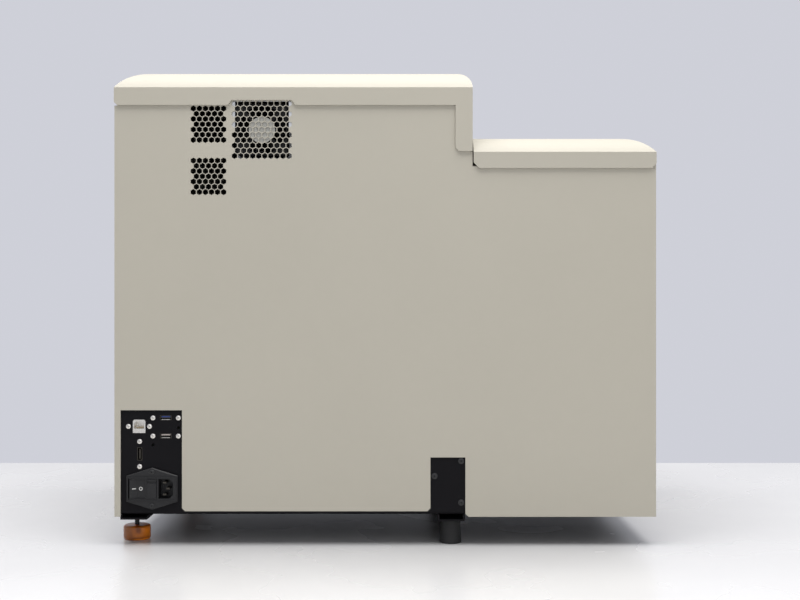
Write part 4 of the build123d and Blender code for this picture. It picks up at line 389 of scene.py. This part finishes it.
def carry(name, mesh, finish, body):
    """A finished piece that rides on a body."""
    if not mesh.materials:
        mesh.materials.append(finish.material)
    made = bpy.data.objects.new(name, mesh)
    bpy.context.scene.collection.objects.link(made)
    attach(made, body)
    return made


def solids(node):
    """The lowest and highest corners of each separate solid of a CAD node."""
    mesh = bmesh.new()
    mesh.from_mesh(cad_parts[node].data)
    bmesh.ops.remove_doubles(mesh, verts=mesh.verts, dist=0.00001)
    left = set(mesh.verts)
    boxes = []
    while left:
        island = {left.pop()}
        front = set(island)
        while front:
            front = {edge.other_vert(v) for v in front for edge in v.link_edges} - island
            island |= front
        left -= island
        corners = [v.co for v in island]
        boxes.append((
            Vector(min(c[i] for c in corners) for i in range(3)),
            Vector(max(c[i] for c in corners) for i in range(3)),
        ))
    mesh.free()
    return sorted(boxes, key=lambda box: tuple(round(c, 4) for c in box[0]))


screw_sides = 24
screw_dome = 0.42
recess_reach = 1.05
recess_slot = 0.30
recess_depth = 0.75
screw = Pattern(
    "cross_screw", Head="Float", Rise="Float", Shank="Float", Length="Float", Face="Vector",
    Seed="Int",
)
head_radius = screw.given("Head")
head_rise = screw.given("Rise")
head_solid = screw.node(
    "GeometryNodeMeshCylinder", {"fill_type": "TRIANGLE_FAN"},
    {"Vertices": screw_sides, "Fill Segments": 4, "Radius": head_radius, "Depth": head_rise},
    "Mesh",
)
head_solid = screw.moved(head_solid, screw.vector(z=head_rise * 0.5))
spot = screw.node(
    "ShaderNodeSeparateXYZ", None, {"Vector": screw.node("GeometryNodeInputPosition")}, "X"
)
spot_y = Reading(screw, spot.socket.node.outputs["Y"])
spot_z = Reading(screw, spot.socket.node.outputs["Z"])
out_share = (spot * spot + spot_y * spot_y) / (head_radius * head_radius)
fall = (spot_z > head_rise * 0.5) * out_share * head_rise * screw_dome
head_solid = screw.node(
    "GeometryNodeSetPosition", None,
    {"Geometry": head_solid, "Offset": screw.vector(z=fall * -1.0)},
)
slots = [
    screw.node("GeometryNodeMeshCube", None, {"Size": size}, "Mesh")
    for size in (
        screw.vector(head_radius * recess_reach, head_radius * recess_slot, head_rise),
        screw.vector(head_radius * recess_slot, head_radius * recess_reach, head_rise),
    )
]
slots = [screw.moved(s, screw.vector(z=head_rise * (1.5 - recess_depth))) for s in slots]
for slot in slots:
    cut = screw.node("GeometryNodeMeshBoolean", {"operation": "DIFFERENCE"}, {}, "Mesh")
    screw.tree.links.new(head_solid.socket, cut.socket.node.inputs["Mesh 1"])
    screw.tree.links.new(slot.socket, cut.socket.node.inputs["Mesh 2"])
    head_solid = cut
shank_solid = screw.node(
    "GeometryNodeMeshCylinder", None,
    {"Vertices": screw_sides // 2, "Radius": screw.given("Shank"), "Depth": screw.given("Length")},
    "Mesh",
)
shank_solid = screw.moved(shank_solid, screw.vector(z=screw.given("Length") * -0.5))
spread = screw.node(
    "GeometryNodeInstanceOnPoints", None,
    {
        "Points": screw.given("Places"), "Instance": screw.joined(head_solid, shank_solid),
        "Rotation": screw.given("Face"),
    },
)
any_turn = screw.node(
    "FunctionNodeRandomValue", {"data_type": "FLOAT"},
    {"Max_001": math.pi / 2, "Seed": screw.given("Seed")}, "Value_001",
)
spread = screw.node(
    "GeometryNodeRotateInstances", None,
    {"Instances": spread, "Rotation": screw.vector(z=any_turn)},
)
screw.close(spread)


def screws(node, finish, faces, head, rise, shank, seed):
    """Replaces a CAD node of screws: at each seat a recessed head and its shank."""
    whole = bmesh.new()
    for face in faces:
        out = Vector((0, 0, 1))
        out.rotate(face)
        places = []
        for low, high in solids(node):
            middle = (low + high) / 2
            half = sum(abs(o) * (h - l) / 2 for o, l, h in zip(out, low, high))
            if out.dot(middle) > 0:
                places.append(middle + out * (half - rise))
                length = 2 * half - rise
        whole.from_mesh(screw.run(
            places, Head=head, Rise=rise, Shank=shank, Length=length, Face=tuple(face), Seed=seed,
            Material=finish.material,
        ))
    mesh = bpy.data.meshes.new(node)
    whole.to_mesh(mesh)
    whole.free()
    made = carry(node.replace("screws", "screw_heads"), mesh, finish, "chassis")
    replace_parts(made, node)


to_left = Euler((0, math.radians(-90), 0))
to_right = Euler((0, math.radians(90), 0))
to_rear = Euler((math.radians(-90), 0, 0))
screws(
    "port_screws", nickel, [to_left], head=0.0028, rise=0.0018, shank=0.0015, seed=3
)
screws(
    "inlet_screws", black_steel, [to_left],
    head=0.0028, rise=0.0018, shank=0.0015, seed=5,
)
screws(
    "flange_screws", black_steel, [to_left, to_right],
    head=0.0036, rise=0.0017, shank=0.0020, seed=9,
)
screws("rear_screws", steel, [to_rear], head=0.0036, rise=0.0020, shank=0.0020, seed=7)


# The fan's label: a pale foil disc on the stator's hub, seen through the perforations. It is
# blank, with the faint rings that its press left.
def turned(profile, centre, axis, count=48):
    """A mesh turned about an axis; the profile gives pairs of radius and distance along it."""
    mesh = bmesh.new()
    points = [mesh.verts.new((radius, 0, along)) for radius, along in profile]
    edges = [mesh.edges.new(pair) for pair in zip(points, points[1:])]
    bmesh.ops.spin(
        mesh, geom=points + edges, axis=(0, 0, 1), cent=(0, 0, 0), steps=count, angle=2 * math.pi
    )
    bmesh.ops.remove_doubles(mesh, verts=mesh.verts, dist=0.000005)
    bmesh.ops.recalc_face_normals(mesh, faces=mesh.faces)
    turn = Vector(axis).to_track_quat("Z", "Y").to_matrix().to_4x4()
    mesh.transform(Matrix.Translation(centre) @ turn)
    made = bpy.data.meshes.new("turned")
    mesh.to_mesh(made)
    mesh.free()
    return made


def middle_of(node):
    low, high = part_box(node)
    return (Vector(low) + Vector(high)) / 2


label_radius = 0.0156
label_thickness = 0.0003
label_proud = 0.00006
label_ring_rate = 4200.0
label_foil = Finish("label_foil", IOR=1.45)
label_middle = middle_of("fan_frame")
ring_place = label_foil.node(
    "ShaderNodeMapping", {"vector_type": "POINT"},
    {
        "Vector": label_foil.node("ShaderNodeTexCoord", output="Object"),
        "Location": tuple(-c for c in label_middle),
    },
)
ring_distance = label_foil.node(
    "ShaderNodeVectorMath", {"operation": "LENGTH"}, {"Vector": ring_place}, "Value"
)
ring_wave = ring_distance.maths("SINE", ring_distance * label_ring_rate) * 0.5 + 0.5
label_foil.wear(
    Base_Color=label_foil.blend(ring_wave * 0.6, (0.50, 0.50, 0.47), (0.40, 0.40, 0.38)),
    Roughness=0.42 + 0.2 * ring_wave,
)
label_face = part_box("fan_frame")[0][0] - label_proud
label_centre = (label_face, label_middle.y, label_middle.z)
label_profile = [
    (0, 0), (label_radius, 0), (label_radius, label_thickness), (0, label_thickness)
]
label = turned(label_profile, label_centre, (1, 0, 0))
carry("fan_label", label, label_foil, "chassis")


# The switch marks: a bar and a ring in white on the rocker's two faces, for on and off, printed
# where the faces slope.
def printed(name, node, outlines, thickness, finish, body):
    """Flat shapes, as (points, triangles or quads) in Y and Z, laid on a node's left side."""
    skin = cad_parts[node].data
    surface = BVHTree.FromPolygons(
        [v.co for v in skin.vertices], [tuple(p.vertices) for p in skin.polygons]
    )
    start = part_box(node)[0][0] - 0.01
    mesh = bmesh.new()
    for points, faces in outlines:
        sheets = []
        for lift in (thickness, -thickness):
            row = []
            for y, z in points:
                hit = surface.ray_cast(Vector((start, y, z)), Vector((1, 0, 0)))[0]
                row.append(mesh.verts.new((hit.x - lift, y, z)))
            sheets.append(row)
        rims = {}
        for face in faces:
            mesh.faces.new([sheets[0][i] for i in face])
            mesh.faces.new([sheets[1][i] for i in reversed(face)])
            for pair in zip(face, face[1:] + face[:1]):
                if pair[::-1] in rims:
                    del rims[pair[::-1]]
                else:
                    rims[pair] = True
        for a, b in rims:
            mesh.faces.new([sheets[0][b], sheets[0][a], sheets[1][a], sheets[1][b]])
    bmesh.ops.recalc_face_normals(mesh, faces=mesh.faces)
    made = bpy.data.meshes.new(name)
    mesh.to_mesh(made)
    mesh.free()
    carry(name, made, finish, body)


def bar(y, z, width, height):
    """A rectangle as one quad."""
    corners = [(-1, -1), (1, -1), (1, 1), (-1, 1)]
    return [(y + a * width / 2, z + b * height / 2) for a, b in corners], [(0, 1, 2, 3)]


def ring(y, z, outer, inner, count=32):
    """A flat ring of quads."""
    angles = [2 * math.pi * k / count for k in range(count)]
    points = [
        (y + radius * math.cos(angle), z + radius * math.sin(angle))
        for radius in (outer, inner)
        for angle in angles
    ]
    quads = [(k, (k + 1) % count, count + (k + 1) % count, count + k) for k in range(count)]
    return points, quads


mark_white = moulded("mark_white", (0.70, 0.70, 0.68), (0.78, 0.78, 0.76), 0.5)
rocker_middle = middle_of("power_rocker")
mark_reach = 0.0039
mark_ink = 0.00003
marks = [
    bar(rocker_middle.y + mark_reach, rocker_middle.z, width=0.0042, height=0.0010),
    ring(rocker_middle.y - mark_reach, rocker_middle.z, outer=0.0022, inner=0.0014),
]
printed(
    "switch_marks", "power_rocker", marks, mark_ink, mark_white, "power_rocker"
)


# The data sockets' tongues: a blue plastic one above, a pale one below, each with a row of gilt
# contacts on its underside, and the network socket's eight spring contacts.
def block(low, high):
    """A box between two corners with its long edges eased."""
    mesh = bmesh.new()
    bmesh.ops.create_cube(mesh, size=1.0)
    size = [h - l for l, h in zip(low, high)]
    centre = [(l + h) / 2 for l, h in zip(low, high)]
    mesh.transform(Matrix.Translation(centre) @ Matrix.Diagonal((*size, 1.0)))
    bmesh.ops.bevel(mesh, geom=list(mesh.edges), offset=min(size) * 0.2, segments=2, affect="EDGES")
    made = bpy.data.meshes.new("block")
    mesh.to_mesh(made)
    mesh.free()
    return made


row = Pattern("contact_row", Count="Int", Step="Vector", Size="Vector")
row_line = row.node(
    "GeometryNodeMeshLine", None, {"Count": row.given("Count"), "Offset": row.given("Step")}, "Mesh"
)
row_bar = row.node("GeometryNodeMeshCube", None, {"Size": row.given("Size")}, "Mesh")
row_line = row.node("GeometryNodeInstanceOnPoints", None, {"Points": row_line, "Instance": row_bar})
row_all = row.node(
    "GeometryNodeInstanceOnPoints", None, {"Points": row.given("Places"), "Instance": row_line}
)
row.close(row_all)

gilt = Finish("gilt", Metallic=1.0)
gilt_tone = gilt.clouds(0.001, 2.0)
gilt.wear(
    Base_Color=gilt.blend(gilt_tone, (0.62, 0.44, 0.16), (0.80, 0.60, 0.26)),
    Roughness=0.22 + 0.15 * gilt_tone,
)
tongue_width = 0.0110
tongue_depth = 0.0130
tongue_sink = 0.0008
tongue_rise = 0.0023
tongue_height = 0.0020
contact_inset = 0.0045
contact_reach = 0.0035
contact_pitch = 0.00233
contact_size = (0.006, 0.0010, 0.0003)
contact_drop = 0.0021
spring_width = 0.0100
spring_low_drop = 0.00225
spring_top_drop = 0.00175
for node, tone in (
    ("upper_usb_port", ((0.010, 0.035, 0.20), (0.016, 0.050, 0.26))),
    ("lower_usb_port", ((0.62, 0.55, 0.52), (0.70, 0.63, 0.60))),
):
    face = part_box(node)[0][0]
    middle = middle_of(node)
    top = middle.z + tongue_rise
    insert = moulded(node + "_insert", tone[0], tone[1], 0.40)
    mesh = block(
        (face + tongue_sink, middle.y - tongue_width / 2, top - tongue_height),
        (face + tongue_sink + tongue_depth, middle.y + tongue_width / 2, top),
    )
    carry(node.replace("port", "tongue"), mesh, insert, "chassis")
    contacts = row.run(
        [(face + contact_inset, middle.y - contact_reach, top - contact_drop)], Count=4,
        Step=(0.0, contact_pitch, 0.0), Size=contact_size, Material=gilt.material,
    )
    carry(node.replace("port", "contacts"), contacts, gilt, "chassis")
    lip = block(
        (face + 0.0001, middle.y - spring_width / 2, middle.z - spring_low_drop),
        (face + 0.0060, middle.y + spring_width / 2, middle.z - spring_top_drop),
    )
    carry(node.replace("port", "spring"), lip, nickel, "chassis")

jack_contact_inset = 0.0075
jack_contact_reach = 0.00357
jack_contact_pitch = 0.00102
jack_contact_drop = 0.0020
jack_contact_size = (0.0090, 0.0004, 0.0003)
jack_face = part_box("ethernet_jack")[0][0]
jack_middle = middle_of("ethernet_jack")
jack_start = (
    jack_face + jack_contact_inset,
    jack_middle.y - jack_contact_reach,
    jack_middle.z - jack_contact_drop,
)
jack_contacts = row.run(
    [jack_start], Count=8, Step=(0.0, jack_contact_pitch, 0.0), Size=jack_contact_size,
    Material=gilt.material,
)
carry("jack_contacts", jack_contacts, gilt, "chassis")

# The levelling studs: black steel with a rolled thread from the lock nut down into the cushion.
# Each replaces its plain CAD stud and turns with its foot.
thread = Pattern(
    "rolled_thread", Core="Float", Height="Float", Pitch="Float", Depth="Float"
)
thread_core = thread.node(
    "GeometryNodeMeshCylinder", None,
    {"Vertices": 32, "Radius": thread.given("Core"), "Depth": thread.given("Height")}, "Mesh",
)
thread_core = thread.moved(thread_core, thread.vector(z=thread.given("Height") * 0.5))
thread_line = thread.node(
    "GeometryNodeCurveSpiral", None,
    {
        "Resolution": 24, "Rotations": thread.given("Height") / thread.given("Pitch"),
        "Start Radius": thread.given("Core"), "End Radius": thread.given("Core"),
        "Height": thread.given("Height"),
    },
)
thread_ridge = thread.node(
    "GeometryNodeCurvePrimitiveCircle", {"mode": "RADIUS"},
    {"Resolution": 4, "Radius": thread.given("Depth")}, "Curve",
)
thread_ridge = thread.node(
    "GeometryNodeCurveToMesh", None,
    {"Curve": thread_line, "Profile Curve": thread_ridge, "Fill Caps": True},
)
thread.close(thread.node(
    "GeometryNodeInstanceOnPoints", None,
    {"Points": thread.given("Places"), "Instance": thread.joined(thread_core, thread_ridge)},
))
thread_depth = 0.00035
thread_pitch = 0.0010
for node, body in (("left_foot_stud", "left_foot"), ("right_foot_stud", "right_foot")):
    low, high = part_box(node)
    middle = middle_of(node)
    core = (high[0] - low[0]) / 2 - thread_depth
    mesh = thread.run(
        [(middle.x, middle.y, low[2] + thread_depth)], Core=core,
        Height=high[2] - low[2] - 2 * thread_depth, Pitch=thread_pitch, Depth=thread_depth,
        Material=black_steel.material,
    )
    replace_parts(carry(node + "_thread", mesh, black_steel, body), node)

# The samples: culture medium in each tube, filled to a slightly different height, and the place
# numbers moulded in dark grey between the wells and the dish of the carousel.
medium = Finish("culture_medium", Roughness=0.05, IOR=1.34, Transmission_Weight=0.85)
medium_tone = medium.clouds(0.02, 2.0)
medium.wear(Base_Color=medium.blend(medium_tone, (0.80, 0.28, 0.20), (0.86, 0.40, 0.26)))
fill = Pattern("tube_fill", Radius="Float", Height="Float", Spread="Float", Seed="Int")
fill_column = fill.node(
    "GeometryNodeMeshCylinder", None,
    {"Vertices": 32, "Radius": fill.given("Radius"), "Depth": fill.given("Height")}, "Mesh",
)
fill_column = fill.moved(fill_column, fill.vector(z=fill.given("Height") * 0.5))
fill_share = fill.node(
    "FunctionNodeRandomValue", {"data_type": "FLOAT"},
    {"Min_001": 1.0 - fill.given("Spread"), "Max_001": 1.0, "Seed": fill.given("Seed")},
    "Value_001",
)
fill.close(fill.node(
    "GeometryNodeInstanceOnPoints", None,
    {
        "Points": fill.given("Places"), "Instance": fill_column,
        "Scale": fill.vector(1.0, 1.0, fill_share),
    },
))
tube_radius = 0.0085
tube_wall = 0.0012
tube_gap = 0.00005
fill_height = 0.034
tube_floors = [
    ((low + high) / 2).xy.to_3d() + Vector((0, 0, low.z + tube_wall + tube_gap))
    for low, high in solids("sample_tubes")
]
mesh = fill.run(
    tube_floors, Radius=tube_radius - tube_wall - tube_gap, Height=fill_height, Spread=0.45,
    Seed=4, Material=medium.material,
)
carry("sample_medium", mesh, medium, "carousel")

number_count = 12
number_size = 0.0075
number_circle = 0.0560
number_proud = 0.0001
rim_height = 0.043
carousel_middle = middle_of("sample_carousel")
rim_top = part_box("sample_carousel")[0][2] + rim_height
number_ink = moulded("number_ink", (0.030, 0.032, 0.036), (0.045, 0.047, 0.052), 0.55)
numbers = bmesh.new()
for place in range(number_count):
    angle = math.radians(360 / number_count * place)
    words = bpy.data.curves.new("number", "FONT")
    words.body = str(place + 1)
    words.size = number_size
    words.align_x = "CENTER"
    words.align_y = "CENTER"
    words.extrude = number_proud
    holder = bpy.data.objects.new("number", words)
    bpy.context.scene.collection.objects.link(holder)
    graph = bpy.context.evaluated_depsgraph_get()
    flat = bpy.data.meshes.new_from_object(holder.evaluated_get(graph))
    bpy.data.objects.remove(holder)
    centre = Vector((
        carousel_middle.x + number_circle * math.cos(angle),
        carousel_middle.y + number_circle * math.sin(angle),
        rim_top,
    ))
    flat.transform(Matrix.Translation(centre) @ Matrix.Rotation(angle - math.pi / 2, 4, "Z"))
    numbers.from_mesh(flat)
flat = bpy.data.meshes.new("place_numbers")
numbers.to_mesh(flat)
numbers.free()
flat.materials.clear()
carry("place_numbers", flat, number_ink, "carousel")

# The bottle caps' grips: upright ribs moulded round each reagent bottle's screw cap, in the white
# of the bottles.
ribs = Pattern("cap_ribs", Circle="Float", Rib="Float", Height="Float", Count="Int")
rib_solid = ribs.node(
    "GeometryNodeMeshCylinder", None,
    {"Vertices": 6, "Radius": ribs.given("Rib"), "Depth": ribs.given("Height")}, "Mesh",
)
rib_circle = ribs.node(
    "GeometryNodeMeshCircle", None,
    {"Vertices": ribs.given("Count"), "Radius": ribs.given("Circle")},
)
rib_ring = ribs.node(
    "GeometryNodeInstanceOnPoints", None, {"Points": rib_circle, "Instance": rib_solid}
)
ribs.close(ribs.node(
    "GeometryNodeInstanceOnPoints", None, {"Points": ribs.given("Places"), "Instance": rib_ring}
))
cap_radius = 0.018
cap_height = 0.016
rib_radius = 0.0007
rib_places = []
for low, high in solids("reagent_bottles"):
    rib_places.append((*((low + high) / 2).xy, high.z - cap_height / 2))
mesh = ribs.run(
    rib_places, Circle=cap_radius, Rib=rib_radius, Height=cap_height * 0.72, Count=48,
    Material=white_plastic.material,
)
carry("bottle_cap_ribs", mesh, white_plastic, "chassis")

# The bench top and the soft light of a room: one wide lamp overhead, one from behind the camera,
# and an even pale surround.
bench_reach = 3.0
bench_rear_x = 0.49
bench_mesh = bpy.data.meshes.new("bench_top")
bench_mesh.from_pydata(
    [(-bench_reach, -bench_reach, 0), (bench_rear_x, -bench_reach, 0),
     (bench_rear_x, bench_reach, 0), (-bench_reach, bench_reach, 0)],
    [], [(0, 1, 2, 3)],
)
bench = bpy.data.objects.new("bench_top", bench_mesh)
bpy.context.scene.collection.objects.link(bench)
laminate = Finish("laminate", IOR=1.45)
laminate_tone = laminate.clouds(0.2, 3.0)
laminate.wear(
    Base_Color=laminate.blend(laminate_tone, (0.70, 0.70, 0.715), (0.76, 0.76, 0.775)),
    Roughness=0.22 + 0.10 * laminate_tone,
)
bench.data.materials.append(laminate.material)


def lamp(name, place, aim, size, watts, colour):
    """A square soft lamp at a place, turned to face a point."""
    light = bpy.data.lights.new(name, "AREA")
    light.size = size
    light.energy = watts
    light.color = colour
    holder = bpy.data.objects.new(name, light)
    bpy.context.scene.collection.objects.link(holder)
    holder.location = place
    holder.rotation_euler = (Vector(aim) - Vector(place)).to_track_quat("-Z", "Y").to_euler()


case_middle = (0.0, 0.0, 0.3)
warm_white = (1.0, 0.99, 0.97)
lamp("ceiling_lamp", (-0.35, 0.0, 2.3), case_middle, size=2.4, watts=88, colour=warm_white)
lamp("front_lamp", (-2.9, -0.5, 1.5), case_middle, size=2.0, watts=11, colour=warm_white)

surround = bpy.data.worlds.new("surround")
surround.use_nodes = True
bpy.context.scene.world = surround
tree = surround.node_tree
backdrop_colour = (0.62, 0.63, 0.69, 1.0)
room_colour = (0.80, 0.81, 0.84, 1.0)
room_strength = 0.28
seen = tree.nodes["Background"]
seen.inputs["Color"].default_value = backdrop_colour
seen.inputs["Strength"].default_value = 1.0
room = tree.nodes.new("ShaderNodeBackground")
room.inputs["Color"].default_value = room_colour
room.inputs["Strength"].default_value = room_strength
path = tree.nodes.new("ShaderNodeLightPath")
mix = tree.nodes.new("ShaderNodeMixShader")
direct = tree.nodes.new("ShaderNodeMath")
direct.operation = "MAXIMUM"
shown = tree.nodes.new("ShaderNodeMath")
shown.operation = "MAXIMUM"
tree.links.new(path.outputs["Is Camera Ray"], direct.inputs[0])
tree.links.new(path.outputs["Is Glossy Ray"], direct.inputs[1])
tree.links.new(direct.outputs[0], shown.inputs[0])
tree.links.new(path.outputs["Is Transmission Ray"], shown.inputs[1])
tree.links.new(shown.outputs[0], mix.inputs[0])
tree.links.new(room.outputs[0], mix.inputs[1])
tree.links.new(seen.outputs[0], mix.inputs[2])
tree.links.new(mix.outputs[0], tree.nodes["World Output"].inputs["Surface"])
